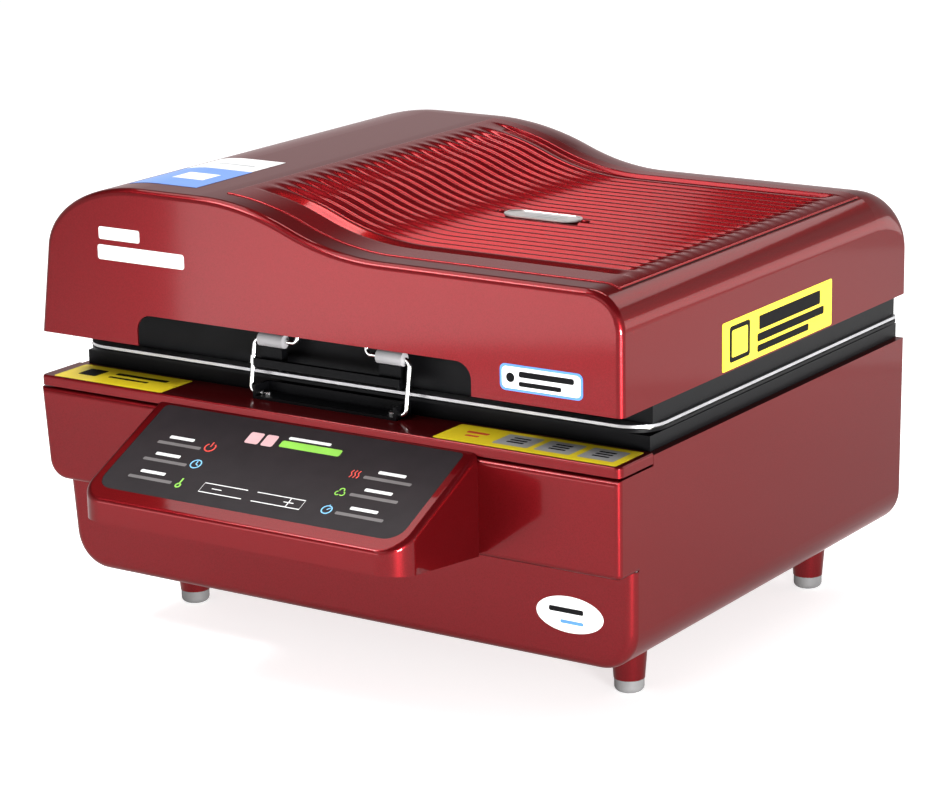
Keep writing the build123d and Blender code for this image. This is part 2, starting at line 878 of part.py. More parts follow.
def lid_block(grow, low, front, back):
    """Lid-shaped solid whose top rounds down in an ellipse towards the back."""
    start = body_depth - back_slope_length
    solid = front_slab(lid_outline(grow, low), front, start)
    sections = []
    for step in range(back_slope_steps + 1):
        turn = radians(90 * step / back_slope_steps)
        y = start + (back - start) * sin(turn)
        drop = (back_slope_drop + grow) * (1 - cos(turn))
        plane = Plane(origin=(0, y, 0), x_dir=(1, 0, 0), z_dir=(0, -1, 0))
        sections.append(plane * lid_outline(grow, low, drop))
    return solid + loft(sections)


def lid_skin(outer, inner, x0, x1, y0, y1):
    """Piece of the curved top between two layers and within a rectangle in plan."""
    skin = front_slab(lid_outline(outer), y0, y1)
    skin -= front_slab(lid_outline(inner, lid_bottom - 1), y0 - 1, y1 + 1)
    return skin & block(x0, x1, y0, y1, lid_flat_top - skin_reach, lid_hump_top + skin_reach)


def make_lid_shell():
    shell = lid_block(0, lid_bottom, 0, body_depth)
    front_rim = [edge for edge in edges_at_front(shell, 0) if edge.bounding_box().max.Z > lid_bottom + 1]
    shell = fillet(front_rim, lid_front_edge_radius)
    void = lid_block(-sheet, lid_bottom - sheet, sheet, shell_back)
    front_rim = [edge for edge in edges_at_front(void, sheet) if edge.bounding_box().max.Z > lid_bottom]
    void = fillet(front_rim, lid_front_edge_radius - sheet)
    shell -= void
    hand = outline_of((cutout_left, lid_bottom - sheet), (cutout_right, lid_bottom - sheet),
                      (cutout_right, cutout_top), (cutout_left, cutout_top))
    hand = fillet(hand.vertices().sort_by(Axis.Y)[-2:], cutout_radius)
    shell -= front_slab(hand, -1, sheet + 1)
    shell -= block(grille_left + grille_flange, grille_right - grille_flange,
                   grille_front + grille_flange, grille_back - grille_flange,
                   lid_flat_top - skin_reach, lid_hump_top + skin_reach)
    return shell


def grille_field(margin):
    """Edges in plan of the recessed field, each moved outward by margin."""
    return (grille_left + field_side_margin - margin, grille_right - field_side_margin + margin,
            grille_front + field_front_margin - margin, grille_back - field_back_margin + margin)


def make_grille_panel():
    """Plate laid over the opening in the lid top, with ribs in a recessed field that follows its curve."""
    floor = grille_thickness - grille_recess
    panel = lid_skin(grille_thickness, 0, grille_left, grille_right, grille_front, grille_back)
    panel += lid_skin(grille_thickness, floor - grille_skirt, *grille_field(grille_skirt))
    panel -= lid_skin(grille_thickness + 1, floor, *grille_field(0))
    left, right, front, back = grille_field(-rib_end_margin)
    stock = lid_skin(grille_thickness - rib_drop, floor - overlap, left, right, front, back)
    for index in range(rib_count):
        y = grille_front + field_front_margin + rib_front_margin + index * rib_pitch
        panel += stock & block(left, right, y, y + rib_width, lid_flat_top - skin_reach, lid_hump_top + skin_reach)
    return panel


def make_grille_badge():
    """Small blank plate that rests on the ribs and follows their curve."""
    rib_top = grille_thickness - rib_drop
    half_x = badge_length / 2
    half_y = badge_width / 2
    plate = lid_skin(rib_top + badge_thickness, rib_top, badge_centre_x - half_x, badge_centre_x + half_x,
                     badge_centre_y - half_y, badge_centre_y + half_y)
    stamp = Pos(badge_centre_x, badge_centre_y, lid_flat_top) * extrude(SlotOverall(badge_length, badge_width),
                                                                        amount=2 * lid_hump_height)
    return plate & stamp


# -------------------------------------------------------------- oven chamber
def make_oven_chamber():
    skirt = block(-tray_half_width, tray_half_width, chamber_front, chamber_back, chamber_bottom, chamber_skirt_top)
    upper = block(-chamber_upper_half_width, chamber_upper_half_width, chamber_front, chamber_back,
                  chamber_skirt_top - 1, chamber_top)
    wide = tray_half_width - chamber_wall
    narrow = chamber_upper_half_width - chamber_wall
    front = chamber_front + chamber_wall
    back = chamber_back - chamber_wall
    chamber = skirt + upper
    chamber -= block(-wide, wide, front, back, chamber_bottom - 1, chamber_skirt_top - chamber_wall)
    chamber -= block(-narrow, narrow, front, back, chamber_bottom, chamber_ceiling)
    chamber -= rod_z(chamber_ceiling - 1, chamber_top + 1, impeller_x, impeller_y, fan_shaft_radius + 1)
    tab_x = chamber_upper_half_width - chamber_tab_inset
    for x in (-tab_x, tab_x):
        chamber += block(x - chamber_tab_width / 2, x + chamber_tab_width / 2, sheet, chamber_front,
                         chamber_skirt_top + chamber_tab_rise, chamber_skirt_top + chamber_tab_rise + sheet)
        chamber += block(x - chamber_tab_width / 2, x + chamber_tab_width / 2, chamber_back, shell_back,
                         chamber_skirt_top + chamber_tab_rise, chamber_skirt_top + chamber_tab_rise + sheet)
    return chamber


def heater_places():
    return [heater_first_x + index * heater_pitch for index in range(heater_count)]


def heater_span():
    return chamber_front + chamber_wall + rail_margin, chamber_back - chamber_wall - rail_margin


def make_reflector():
    front, back = heater_span()
    return block(heater_first_x - reflector_margin, heater_places()[-1] + reflector_margin,
                 front + rail_thickness, back - rail_thickness,
                 chamber_ceiling - reflector_thickness, chamber_ceiling)


def make_heater_rails():
    front, back = heater_span()
    rails = []
    for y0 in (front, back - rail_thickness):
        rail = block(heater_first_x - rail_overhang, heater_places()[-1] + rail_overhang, y0, y0 + rail_thickness,
                     heater_height - heater_radius - rail_below_tube, chamber_ceiling)
        for x in heater_places():
            rail -= rod_y(y0 - 1, y0 + rail_thickness + 1, x, heater_height, heater_radius)
        rails.append(rail)
    return Compound(rails)


def make_heater_tubes():
    front, back = heater_span()
    return Compound([rod_y(front - tube_end, back + tube_end, x, heater_height, heater_radius)
                     for x in heater_places()])


def make_heater_guard():
    half = chamber_upper_half_width - chamber_wall
    front = chamber_front + chamber_wall
    back = chamber_back - chamber_wall
    guard = None
    for index in range(guard_cross_count):
        y = front + (index + 0.5) * (back - front) / guard_cross_count
        wire = rod_x(-half, half, y, guard_height + guard_wire_nest * guard_wire_radius, guard_wire_radius)
        guard = wire if guard is None else guard + wire
    for index in range(guard_wire_count):
        x = (index - (guard_wire_count - 1) / 2) * 2 * half / guard_wire_count
        guard += rod_y(front, back, x, guard_height, guard_wire_radius)
    return guard


def make_insulation_blanket():
    blanket = block(impeller_x + fan_motor_radius + blanket_motor_gap, chamber_upper_half_width - blanket_side_gap,
                    chamber_front + blanket_end_gap, chamber_back - blanket_end_gap,
                    chamber_top, chamber_top + blanket_thickness)
    return fillet(blanket.edges().filter_by(Axis.Z), blanket_corner_radius)


def make_fan_motor():
    can = rod_z(chamber_top, chamber_top + fan_motor_height, impeller_x, impeller_y, fan_motor_radius)
    can = fillet(can.edges().sort_by(Axis.Z)[-1], fan_motor_edge_radius)
    return can - rod_z(chamber_top - 1, chamber_top + fan_shaft_bore, impeller_x, impeller_y,
                       fan_shaft_radius + running_clearance)


def make_fan_impeller():
    high = chamber_ceiling - impeller_gap
    low = high - impeller_height
    wheel = rod_z(high - impeller_disc, high, impeller_x, impeller_y, impeller_radius)
    wheel += rod_z(low, high, impeller_x, impeller_y, impeller_hub_radius)
    wheel += rod_z(high, chamber_top + fan_shaft_reach, impeller_x, impeller_y, fan_shaft_radius)
    vane_length = impeller_radius - vane_inner_radius - vane_tip_gap
    for index in range(impeller_blades):
        turn = Pos(impeller_x, impeller_y, 0) * Rot(0, 0, index * 360 / impeller_blades)
        vane = Pos(vane_inner_radius + vane_length / 2, vane_offset, (low + high) / 2) * Rot(0, 0, vane_angle)
        wheel += turn * vane * Box(vane_length, vane_thickness, impeller_height)
    return wheel


def make_temperature_probe():
    tip = rod_y(chamber_back - chamber_wall - probe_length, chamber_back - chamber_wall, probe_x,
                heater_height, probe_radius)
    base = rod_y(chamber_back - chamber_wall - probe_boss_length, chamber_back - chamber_wall, probe_x,
                 heater_height, probe_boss_radius)
    return tip + base


# ---------------------------------------------------------------- latch bail
def bail_plane():
    """Plane of the leaning bail: x across, y up along its legs from the pivot."""
    lean = radians(bail_lean)
    return Plane(origin=(bail_centre_x, bail_pivot_y, bail_pivot_z), x_dir=(1, 0, 0),
                 z_dir=(0, -cos(lean), sin(lean)))


def bail_route():
    half = bail_half_width
    grip = bail_grip_half
    end = half - bail_end_length
    points = [(-end, 0), (-half, 0), (-half, bail_sleeve_distance), (-grip, bail_sleeve_distance),
              (-grip, bail_grip_distance), (grip, bail_grip_distance), (grip, bail_sleeve_distance),
              (half, bail_sleeve_distance), (half, 0), (end, 0)]
    bends = [bail_small_bend, bail_shoulder_bend, bail_small_bend, bail_small_bend,
             bail_small_bend, bail_small_bend, bail_shoulder_bend, bail_small_bend]
    return FilletPolyline(*points, radius=bends)


def make_bail_wire():
    route = bail_route()
    section = Plane(origin=route @ 0, z_dir=route % 0) * Circle(bail_wire_radius)
    return bail_plane() * sweep(section, path=route)


def sleeve_start(side):
    """Outer end of a roller sleeve, in the bail's plane."""
    return side * (sleeve_outer_offset - bail_bend_radius / 2)


def make_bail_sleeve(side):
    middle = sleeve_start(side) - side * sleeve_length / 2
    tube = Cylinder(sleeve_radius, sleeve_length) - Cylinder(bail_wire_radius, sleeve_length + 2)
    return bail_plane() * (Pos(middle, bail_sleeve_distance, 0) * Rot(0, 90, 0) * tube)


def make_bail_collar():
    length = collar_high - collar_low
    tube = Cylinder(collar_radius, length) - Cylinder(bail_wire_radius, length + 2)
    return bail_plane() * (Pos(-bail_half_width, (collar_low + collar_high) / 2, 0) * Rot(90, 0, 0) * tube)


def make_bail_bracket():
    """Low channel on the ledge whose end ears hold the bail's wire ends."""
    left = bail_centre_x - bracket_half_length
    right = bail_centre_x + bracket_half_length
    bracket = block(left, right, bracket_front, bracket_back, ledge_top, ledge_top + bracket_plate)
    bracket += block(left, right, bracket_back - bracket_plate, bracket_back, ledge_top, ledge_top + bracket_height)
    for x0 in (left, right - bracket_ear):
        bracket += block(x0, x0 + bracket_ear, bracket_front, bracket_back, ledge_top, ledge_top + bracket_height)
    return bracket - rod_x(left - 1, right + 1, bail_pivot_y, bail_pivot_z, bail_wire_radius + running_clearance)


def make_bracket_screws():
    screws = []
    for side in (-1, 1):
        x = bail_centre_x + side * (bracket_half_length - bracket_screw_inset)
        low = ledge_top + bracket_plate
        screws.append(rod_z(low, low + bracket_screw_height, x, bail_pivot_y + bracket_screw_offset,
                            bracket_screw_radius))
    return Compound(screws)


def make_latch_bracket():
    """Bar, arms and catches that stand on the front of the membrane frame."""
    left = bail_centre_x - bail_half_width + collar_radius + collar_clearance
    right = bail_centre_x + bracket_half_length
    bar = block(left, right, bail_pivot_y, bail_pivot_y + latch_bar_depth, latch_bar_bottom,
                latch_bar_bottom + latch_bar_height)
    bracket = bar
    sleeve_low = bail_pivot_z + bail_sleeve_distance * cos(radians(bail_lean)) - sleeve_radius
    catch_top = sleeve_low - assembly_gap
    for side in (-1, 1):
        middle = bail_centre_x + sleeve_start(side) - side * sleeve_length / 2
        x0 = middle - latch_arm_thickness / 2
        x1 = middle + latch_arm_thickness / 2
        bracket += block(x0, x1, bail_pivot_y + latch_bar_depth - 1, latch_back, latch_bar_bottom,
                         latch_bar_bottom + latch_bar_height)
        bracket += block(x0, x1, ring_front + 2, latch_back, ring_top, latch_bar_bottom + latch_bar_height)
        bracket += block(middle - catch_width / 2, middle + catch_width / 2, catch_front, catch_back,
                         latch_bar_bottom, catch_top)
    return bracket


# -------------------------------------------------------- rear panel fittings
def make_cooling_fan_frame():
    half = fan_size / 2
    front = shell_back - fan_depth
    plate_back = front + fan_plate_thickness
    frame = block(fan_x - half, fan_x + half, front, shell_back, fan_z - half, fan_z + half)
    frame = fillet(frame.edges().filter_by(Axis.Y), fan_corner_radius)
    frame -= rod_y(front - 1, shell_back + 1, fan_x, fan_z, fan_opening_radius)
    frame += rod_y(front, plate_back, fan_x, fan_z, fan_hub_radius)
    for index in range(fan_spoke_count):
        turn = Pos(fan_x, (front + plate_back) / 2, fan_z) * Rot(0, 45 + index * 360 / fan_spoke_count, 0)
        spoke = turn * Pos(fan_opening_radius / 2 + 2, 0, 0)
        frame += spoke * Box(fan_opening_radius, fan_plate_thickness, fan_spoke_width)
    return frame - rod_y(front - 1, plate_back + 1, fan_x, fan_z, fan_spindle_radius + running_clearance)


def make_cooling_fan_rotor():
    hub_front = shell_back - fan_depth + fan_plate_thickness + fan_rotor_gap
    hub_back = shell_back - 2 * fan_rotor_gap
    hub = rod_y(hub_front, hub_back, fan_x, fan_z, fan_hub_radius - 1)
    rotor = hub + rod_y(shell_back - fan_depth, hub_front, fan_x, fan_z, fan_spindle_radius)
    length = fan_rotor_radius - fan_hub_radius + 2
    for index in range(fan_blades):
        place = Pos(fan_x, (hub_front + hub_back) / 2, fan_z) * Rot(0, index * 360 / fan_blades, 0)
        blade = Pos(fan_hub_radius - 2 + length / 2, 0, 0) * Rot(fan_blade_angle, 0, 0)
        rotor += place * blade * Box(length, fan_blade_thickness, fan_blade_depth)
    return rotor


def make_mains_inlet():
    half_x = inlet_width / 2
    half_z = inlet_height / 2
    inlet = block(inlet_x - half_x, inlet_x + half_x, body_depth - inlet_depth, body_depth + overlap,
                  inlet_z - half_z, inlet_z + half_z)
    inlet += block(inlet_x - half_x - inlet_flange, inlet_x + half_x + inlet_flange, body_depth,
                   body_depth + inlet_flange_thickness,
                   inlet_z - half_z - inlet_flange, inlet_z + half_z + inlet_flange)
    outside = body_depth + inlet_flange_thickness
    floor = outside - inlet_pocket_depth
    inlet -= block(inlet_x - half_x + inlet_pocket_wall, inlet_x + half_x - inlet_pocket_wall, floor, outside + 1,
                   inlet_z - half_z + inlet_pocket_wall, inlet_z + half_z - inlet_pocket_wall)
    for side in (-1, 0, 1):
        x = inlet_x + side * inlet_pin_spacing
        z = inlet_z + (inlet_pin_rise if side else -inlet_earth_drop)
        inlet += block(x - inlet_pin_width / 2, x + inlet_pin_width / 2, floor - 1, floor + inlet_pin_length,
                       z - inlet_pin_height / 2, z + inlet_pin_height / 2)
    return inlet


def make_switch_bezel():
    half_x = switch_width / 2
    half_z = switch_height / 2
    bezel = block(switch_x - half_x, switch_x + half_x, body_depth - switch_depth, body_depth + overlap,
                  inlet_z - half_z, inlet_z + half_z)
    outside = body_depth + switch_flange_thickness
    bezel += block(switch_x - half_x - switch_flange, switch_x + half_x + switch_flange, body_depth, outside,
                   inlet_z - half_z - switch_flange, inlet_z + half_z + switch_flange)
    pocket = rocker_width / 2 + rocker_side_gap
    bezel -= block(switch_x - pocket, switch_x + pocket, body_depth - switch_pocket_depth, outside + 1,
                   inlet_z - switch_pocket_height / 2, inlet_z + switch_pocket_height / 2)
    return bezel - rod_x(switch_x - half_x + 1, switch_x + half_x - 1, body_depth - rocker_axis_depth, inlet_z,
                         rocker_pin_radius + running_clearance)


def make_switch_rocker():
    """Rocker with a shallow V face, drawn in its off position."""
    reach = rocker_half_height
    rise = reach * tan(radians(rocker_tilt))
    face = rocker_thickness
    outline = outline_of((0, face), (reach, face + rise), (reach, -rocker_back),
                         (-reach, -rocker_back), (-reach, face + rise))
    turned = Pos(body_depth - rocker_axis_depth, inlet_z) * Rot(0, 0, -90 + rocker_tilt) * outline
    rocker = side_slab(turned, switch_x - rocker_width / 2, switch_x + rocker_width / 2)
    pin = rocker_width / 2 + rocker_pin_reach
    return rocker + rod_x(switch_x - pin, switch_x + pin, body_depth - rocker_axis_depth, inlet_z, rocker_pin_radius)


# ---------------------------------------------------- pump and electric parts
def pump_base():
    return base_floor + mount_height


def pump_port_top():
    return pump_base() + pump_height + pump_head_height + pump_port_height


def make_vacuum_pump():
    low = pump_base()
    body = block(pump_x - pump_width / 2, pump_x + pump_width / 2, pump_y - pump_depth / 2,
                 pump_y + pump_depth / 2, low, low + pump_height)
    body = fillet(body.edges().filter_by(Axis.Z), pump_corner_radius)
    top = low + pump_height
    body += rod_z(top, top + pump_head_height, pump_x, pump_y, pump_head_radius)
    return body + rod_z(top + pump_head_height, pump_port_top(), pump_x, pump_y, hose_radius + pump_port_wall)


def make_pump_motor():
    start = pump_x + pump_width / 2
    height = pump_base() + pump_height / 2
    can = rod_x(start, start + pump_motor_length, pump_y, height, pump_motor_radius)
    return fillet(can.edges().sort_by(Axis.X)[-1], pump_motor_edge_radius)


def make_pump_mounts():
    mounts = []
    for side_x in (-1, 1):
        for side_y in (-1, 1):
            x = pump_x + side_x * (pump_width / 2 - mount_inset)
            y = pump_y + side_y * (pump_depth / 2 - mount_inset)
            mounts.append(rod_z(base_floor, pump_base(), x, y, mount_radius))
    return Compound(mounts)


def make_vacuum_hose():
    start = pump_port_top()
    level = start + hose_rise
    end = tray_floor - fitting_height
    far = pump_x - hose_run
    route = FilletPolyline((pump_x, start), (pump_x, level), (far, level), (far, end), radius=hose_bend / 2)
    plane = Plane(origin=(0, pump_y, 0), x_dir=(1, 0, 0), z_dir=(0, -1, 0))
    section = Plane(origin=route @ 0, z_dir=route % 0) * Circle(hose_radius)
    return plane * sweep(section, path=route)


def make_tray_fitting():
    return rod_z(tray_floor - fitting_height, tray_floor, pump_x - hose_run, pump_y, fitting_radius)


def make_power_board():
    half_x = power_board_length / 2
    half_y = power_board_width / 2
    low = base_floor + standoff_height
    x0 = power_board_x - half_x
    x1 = power_board_x + half_x
    y0 = power_board_y - half_y
    y1 = power_board_y + half_y
    board = block(x0, x1, y0, y1, low, low + board_thickness)
    top = low + board_thickness
    for x in (x0 + standoff_inset, x1 - standoff_inset):
        for y in (y0 + standoff_inset, y1 - standoff_inset):
            board += rod_z(base_floor, low, x, y, standoff_radius)
    left = x0 + transformer_inset_x
    front = y0 + transformer_inset_y
    board += block(left, left + transformer_length, front, front + transformer_width, top, top + transformer_height)
    right = x1 - filter_inset_x
    front = y0 + filter_inset_y
    board += block(right - filter_length, right, front, front + filter_width, top, top + filter_height)
    for index in range(capacitor_count):
        x = x0 + capacitor_inset_x + index * capacitor_pitch
        board += rod_z(top, top + capacitor_height, x, y1 - capacitor_inset_y, capacitor_radius)
    return board


def make_heater_relay():
    half = relay_size / 2
    relay = block(relay_x - half, relay_x + half, power_board_y - half, power_board_y + half,
                  base_floor, base_floor + relay_height)
    pitch = relay_size / relay_fins
    for index in range(relay_fins - 1):
        x = relay_x - half + (index + 1) * pitch
        relay -= block(x - relay_slot_width / 2, x + relay_slot_width / 2, power_board_y - half - 1,
                       power_board_y + half + 1, base_floor + relay_base_height, base_floor + relay_height + 1)
    return relay


# -------------------------------------------------------------------- export
def sided(name, maker, *places):
    """Left and right copies of a piece made at the given x places."""
    return {f"{name}_{label}": maker(x) for label, x in zip(("left", "right"), places)}


def all_pieces():
    pieces = {
        "base_shell": make_base_shell(),
        "rear_panel": make_rear_panel(),
        "front_fascia": make_front_fascia(),
        "front_ledge": make_front_ledge(),
        "control_housing": make_control_housing(),
        "control_overlay": make_control_overlay(),
        "control_board": make_control_board(),
        "vacuum_tray": make_vacuum_tray(),
        "vacuum_table": make_vacuum_table(),
        "tray_seal": make_tray_seal(),
        "frame_lower_ring": make_frame_lower_ring(),
        "frame_upper_ring": make_frame_upper_ring(),
        "membrane": make_membrane(),
        "frame_screws": make_frame_screws(),
        "latch_bracket": make_latch_bracket(),
        "hinge_pins": make_hinge_pins(),
        "lid_shell": make_lid_shell(),
        "grille_panel": make_grille_panel(),
        "grille_badge": make_grille_badge(),
        "oven_chamber": make_oven_chamber(),
        "reflector": make_reflector(),
        "heater_rails": make_heater_rails(),
        "heater_tubes": make_heater_tubes(),
        "heater_guard": make_heater_guard(),
        "insulation_blanket": make_insulation_blanket(),
        "fan_motor": make_fan_motor(),
        "fan_impeller": make_fan_impeller(),
        "temperature_probe": make_temperature_probe(),
        "bail_wire": make_bail_wire(),
        "bail_collar": make_bail_collar(),
        "bail_bracket": make_bail_bracket(),
        "bracket_screws": make_bracket_screws(),
        "cooling_fan_frame": make_cooling_fan_frame(),
        "cooling_fan_rotor": make_cooling_fan_rotor(),
        "mains_inlet": make_mains_inlet(),
        "switch_bezel": make_switch_bezel(),
        "switch_rocker": make_switch_rocker(),
        "vacuum_pump": make_vacuum_pump(),
        "pump_motor": make_pump_motor(),
        "pump_mounts": make_pump_mounts(),
        "vacuum_hose": make_vacuum_hose(),
        "tray_fitting": make_tray_fitting(),
        "power_board": make_power_board(),
        "heater_relay": make_heater_relay(),
    }
    pieces |= sided("hinge_bracket", make_hinge_bracket, -hinge_spread, hinge_spread)
    pieces |= sided("frame_arm", make_frame_arm, -hinge_spread, hinge_spread)
    pieces |= sided("lid_arm", make_lid_arm, -hinge_spread, hinge_spread)
    pieces |= sided("bail_sleeve", make_bail_sleeve, -1, 1)
    for depth_name, y in (("front", foot_front_y), ("back", foot_back_y)):
        for side_name, x in (("left", -foot_spread), ("right", foot_spread)):
            pieces[f"foot_{depth_name}_{side_name}"] = make_foot(x, y)
            pieces[f"foot_pad_{depth_name}_{side_name}"] = make_foot_pad(x, y)
    return pieces


os.makedirs("parts", exist_ok=True)
for node, solid in all_pieces().items():
    export_step(Pos(0, -centre_depth, 0) * solid, f"parts/{node}.step")
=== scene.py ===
"""Looks of a benchtop 3D vacuum sublimation press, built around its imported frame."""
import json
from math import cos, pi, radians, sin, sqrt

import bmesh
import bpy
from mathutils import Matrix, Vector


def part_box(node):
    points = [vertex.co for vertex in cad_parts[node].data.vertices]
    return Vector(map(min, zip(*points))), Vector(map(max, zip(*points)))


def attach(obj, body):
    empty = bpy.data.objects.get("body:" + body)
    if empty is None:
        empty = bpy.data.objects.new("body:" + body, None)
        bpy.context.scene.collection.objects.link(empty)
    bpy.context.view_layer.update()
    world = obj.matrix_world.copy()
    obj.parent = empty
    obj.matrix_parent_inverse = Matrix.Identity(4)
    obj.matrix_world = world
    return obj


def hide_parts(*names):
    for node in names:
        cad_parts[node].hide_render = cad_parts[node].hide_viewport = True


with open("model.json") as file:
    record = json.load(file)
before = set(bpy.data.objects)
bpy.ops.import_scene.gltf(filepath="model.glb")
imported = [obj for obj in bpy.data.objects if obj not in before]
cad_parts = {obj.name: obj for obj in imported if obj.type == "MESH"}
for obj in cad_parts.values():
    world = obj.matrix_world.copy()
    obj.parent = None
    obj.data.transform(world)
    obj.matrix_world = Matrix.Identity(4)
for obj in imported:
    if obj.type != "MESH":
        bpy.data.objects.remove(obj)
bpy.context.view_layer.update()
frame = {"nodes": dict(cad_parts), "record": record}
nodes = frame["nodes"]

# The drawing's y = 0 is the front plane of the lid. The frame's origin lies this far behind it.
ORIGIN_DEPTH = 201.0


def place(x, y, z):
    """Point of the drawing, in millimetres, as a point of the frame, in metres."""
    return Vector((x / 1000, (y - ORIGIN_DEPTH) / 1000, z / 1000))


# ------------------------------------------------------------------ camera
IMAGE_WIDTH = 950
CAMERA_AZIMUTH = radians(34.0)
CAMERA_ELEVATION = radians(15.348)
CAMERA_ROLL = radians(-1.1266)
FOCAL_PIXELS = 3131.58
SHIFT_RIGHT_PIXELS = 13.01
SHIFT_UP_PIXELS = 24.895
SENSOR = 36.0
CAMERA_PLACE = (1518.74, -2031.63, 925.45)
CLIP_END = 100.0


def make_camera():
    """Camera at the picture's viewpoint, turned a little about its own line of sight."""
    data = bpy.data.cameras.new("camera")
    camera = bpy.data.objects.new("camera", data)
    bpy.context.scene.collection.objects.link(camera)
    data.sensor_width = SENSOR
    data.lens = FOCAL_PIXELS * SENSOR / IMAGE_WIDTH
    data.shift_x = SHIFT_RIGHT_PIXELS / IMAGE_WIDTH
    data.shift_y = SHIFT_UP_PIXELS / IMAGE_WIDTH
    data.clip_end = CLIP_END
    back = Vector((sin(CAMERA_AZIMUTH) * cos(CAMERA_ELEVATION), -cos(CAMERA_AZIMUTH) * cos(CAMERA_ELEVATION),
                   sin(CAMERA_ELEVATION)))
    level = Vector((cos(CAMERA_AZIMUTH), sin(CAMERA_AZIMUTH), 0))
    right = cos(CAMERA_ROLL) * level + sin(CAMERA_ROLL) * back.cross(level)
    up = back.cross(right)
    turn = Matrix((right, up, back)).transposed().to_4x4()
    camera.matrix_world = Matrix.Translation(place(*CAMERA_PLACE)) @ turn
    bpy.context.scene.camera = camera


# ------------------------------------------------------------------ lights
def area_light(name, location, target, size, power):
    """White rectangular lamp, in metres and watts, aimed at a point and hidden from the camera."""
    data = bpy.data.lights.new(name, "AREA")
    data.shape = "RECTANGLE"
    data.size, data.size_y = size
    data.energy = power
    light = bpy.data.objects.new(name, data)
    bpy.context.scene.collection.objects.link(light)
    aim = Vector(location) - Vector(target)
    light.location = location
    light.rotation_euler = aim.to_track_quat("Z", "Y").to_euler()
    light.visible_camera = False


# The world and the floor show white to the camera and in glossy and clear surfaces.
# They light the object less than that.
WHITE = 1.0
WORLD_LIGHT = 0.42
CEILING = 0.1
WHITE_TO, CEILING_FROM = 0.32, 0.5
FLOOR_COLOUR = (0.8, 0.8, 0.8, 1)
FLOOR_LIFT = 0.68
FLOOR_HALF = 30.0
FLOOR_ROUGHNESS = 0.9

# Lamps: name, place, target, size and power.
LAMPS = (
    ("front_box", (-0.45, -1.2, 0.16), (0.1, -0.2, 0.33), (0.8, 0.26), 3.1),
    ("edge_box", (-0.93, -1.15, 1.64), (0.1, -0.2, 0.37), (0.6, 0.35), 16),
    ("top_box", (-0.1, 0.85, 2.0), (0.1, 0, 0.38), (1.0, 0.5), 14),
    ("left_box", (-0.93, -0.28, 1.96), (0.1, 0, 0.38), (2.0, 0.7), 20),
    ("right_box", (1.5, 2.0, 0.3), (0.3, 0.1, 0.25), (1.4, 0.5), 7),
    ("back_right_box", (0.7, 1.75, 1.5), (0.3, 0, 0.35), (1.0, 0.5), 6),
    ("side_box", (0.95, 0.7, 0.08), (0.3, 0, 0.3), (0.9, 0.14), 0.35),
    ("corner_box", (1.7, -1.1, 0.12), (0.3, -0.2, 0.3), (0.5, 0.2), 70),
    ("fill_box", (-0.5, -3.2, 1.7), (0, 0, 0.25), (2.0, 1.4), 13),
)


def seen_directly(tree):
    """1 for camera, glossy and transmission rays, 0 for the rays that only light a surface."""
    path = add(tree, "ShaderNodeLightPath")
    first = add(tree, "ShaderNodeMath", operation="MAXIMUM")
    second = add(tree, "ShaderNodeMath", operation="MAXIMUM")
    tree.links.new(path.outputs["Is Camera Ray"], first.inputs[0])
    tree.links.new(path.outputs["Is Glossy Ray"], first.inputs[1])
    tree.links.new(first.outputs[0], second.inputs[0])
    tree.links.new(path.outputs["Is Transmission Ray"], second.inputs[1])
    return second.outputs[0]


def between(tree, factor, low, high):
    """Value that goes from low to high as a factor goes from 0 to 1."""
    node = add(tree, "ShaderNodeMapRange")
    node.inputs["To Min"].default_value = low
    node.inputs["To Max"].default_value = high
    tree.links.new(factor, node.inputs["Value"])
    return node.outputs["Result"]


def make_world():
    """Even light for surfaces, and for what is seen directly a white studio wall under a dark ceiling."""
    world = bpy.data.worlds.new("studio")
    bpy.context.scene.world = world
    world.use_nodes = True
    tree = world.node_tree
    even = tree.nodes["Background"]
    even.inputs["Color"].default_value = (1, 1, 1, 1)
    even.inputs["Strength"].default_value = WORLD_LIGHT
    studio = add(tree, "ShaderNodeBackground")
    studio.inputs["Strength"].default_value = WHITE
    direction = add(tree, "ShaderNodeTexCoord")
    parts = add(tree, "ShaderNodeSeparateXYZ")
    tree.links.new(direction.outputs["Generated"], parts.inputs["Vector"])
    stops = [(WHITE_TO, (1, 1, 1)), (CEILING_FROM, (CEILING, CEILING, CEILING))]
    tree.links.new(ramp(tree, parts.outputs["Z"], stops), studio.inputs["Color"])
    mix = add(tree, "ShaderNodeMixShader")
    tree.links.new(seen_directly(tree), mix.inputs["Fac"])
    tree.links.new(even.outputs["Background"], mix.inputs[1])
    tree.links.new(studio.outputs["Background"], mix.inputs[2])
    tree.links.new(mix.outputs["Shader"], tree.nodes["World Output"].inputs["Surface"])


def make_stage():
    """Wide pale floor under the feet."""
    mesh = bpy.data.meshes.new("floor")
    corners = [(-FLOOR_HALF, -FLOOR_HALF, 0), (FLOOR_HALF, -FLOOR_HALF, 0),
               (FLOOR_HALF, FLOOR_HALF, 0), (-FLOOR_HALF, FLOOR_HALF, 0)]
    mesh.from_pydata(corners, [], [(0, 1, 2, 3)])
    floor = bpy.data.objects.new("floor", mesh)
    bpy.context.scene.collection.objects.link(floor)
    floor_material()
    floor.data.materials.append(materials["floor"])


def floor_material():
    """Matt pale floor that shows white but takes the object's shadow."""
    tree, shader = new_material("floor")
    shader.inputs["Base Color"].default_value = FLOOR_COLOUR
    shader.inputs["Roughness"].default_value = FLOOR_ROUGHNESS
    shader.inputs["Specular IOR Level"].default_value = 0.0
    shader.inputs["Emission Color"].default_value = (1, 1, 1, 1)
    tree.links.new(between(tree, seen_directly(tree), 0.0, FLOOR_LIFT), shader.inputs["Emission Strength"])


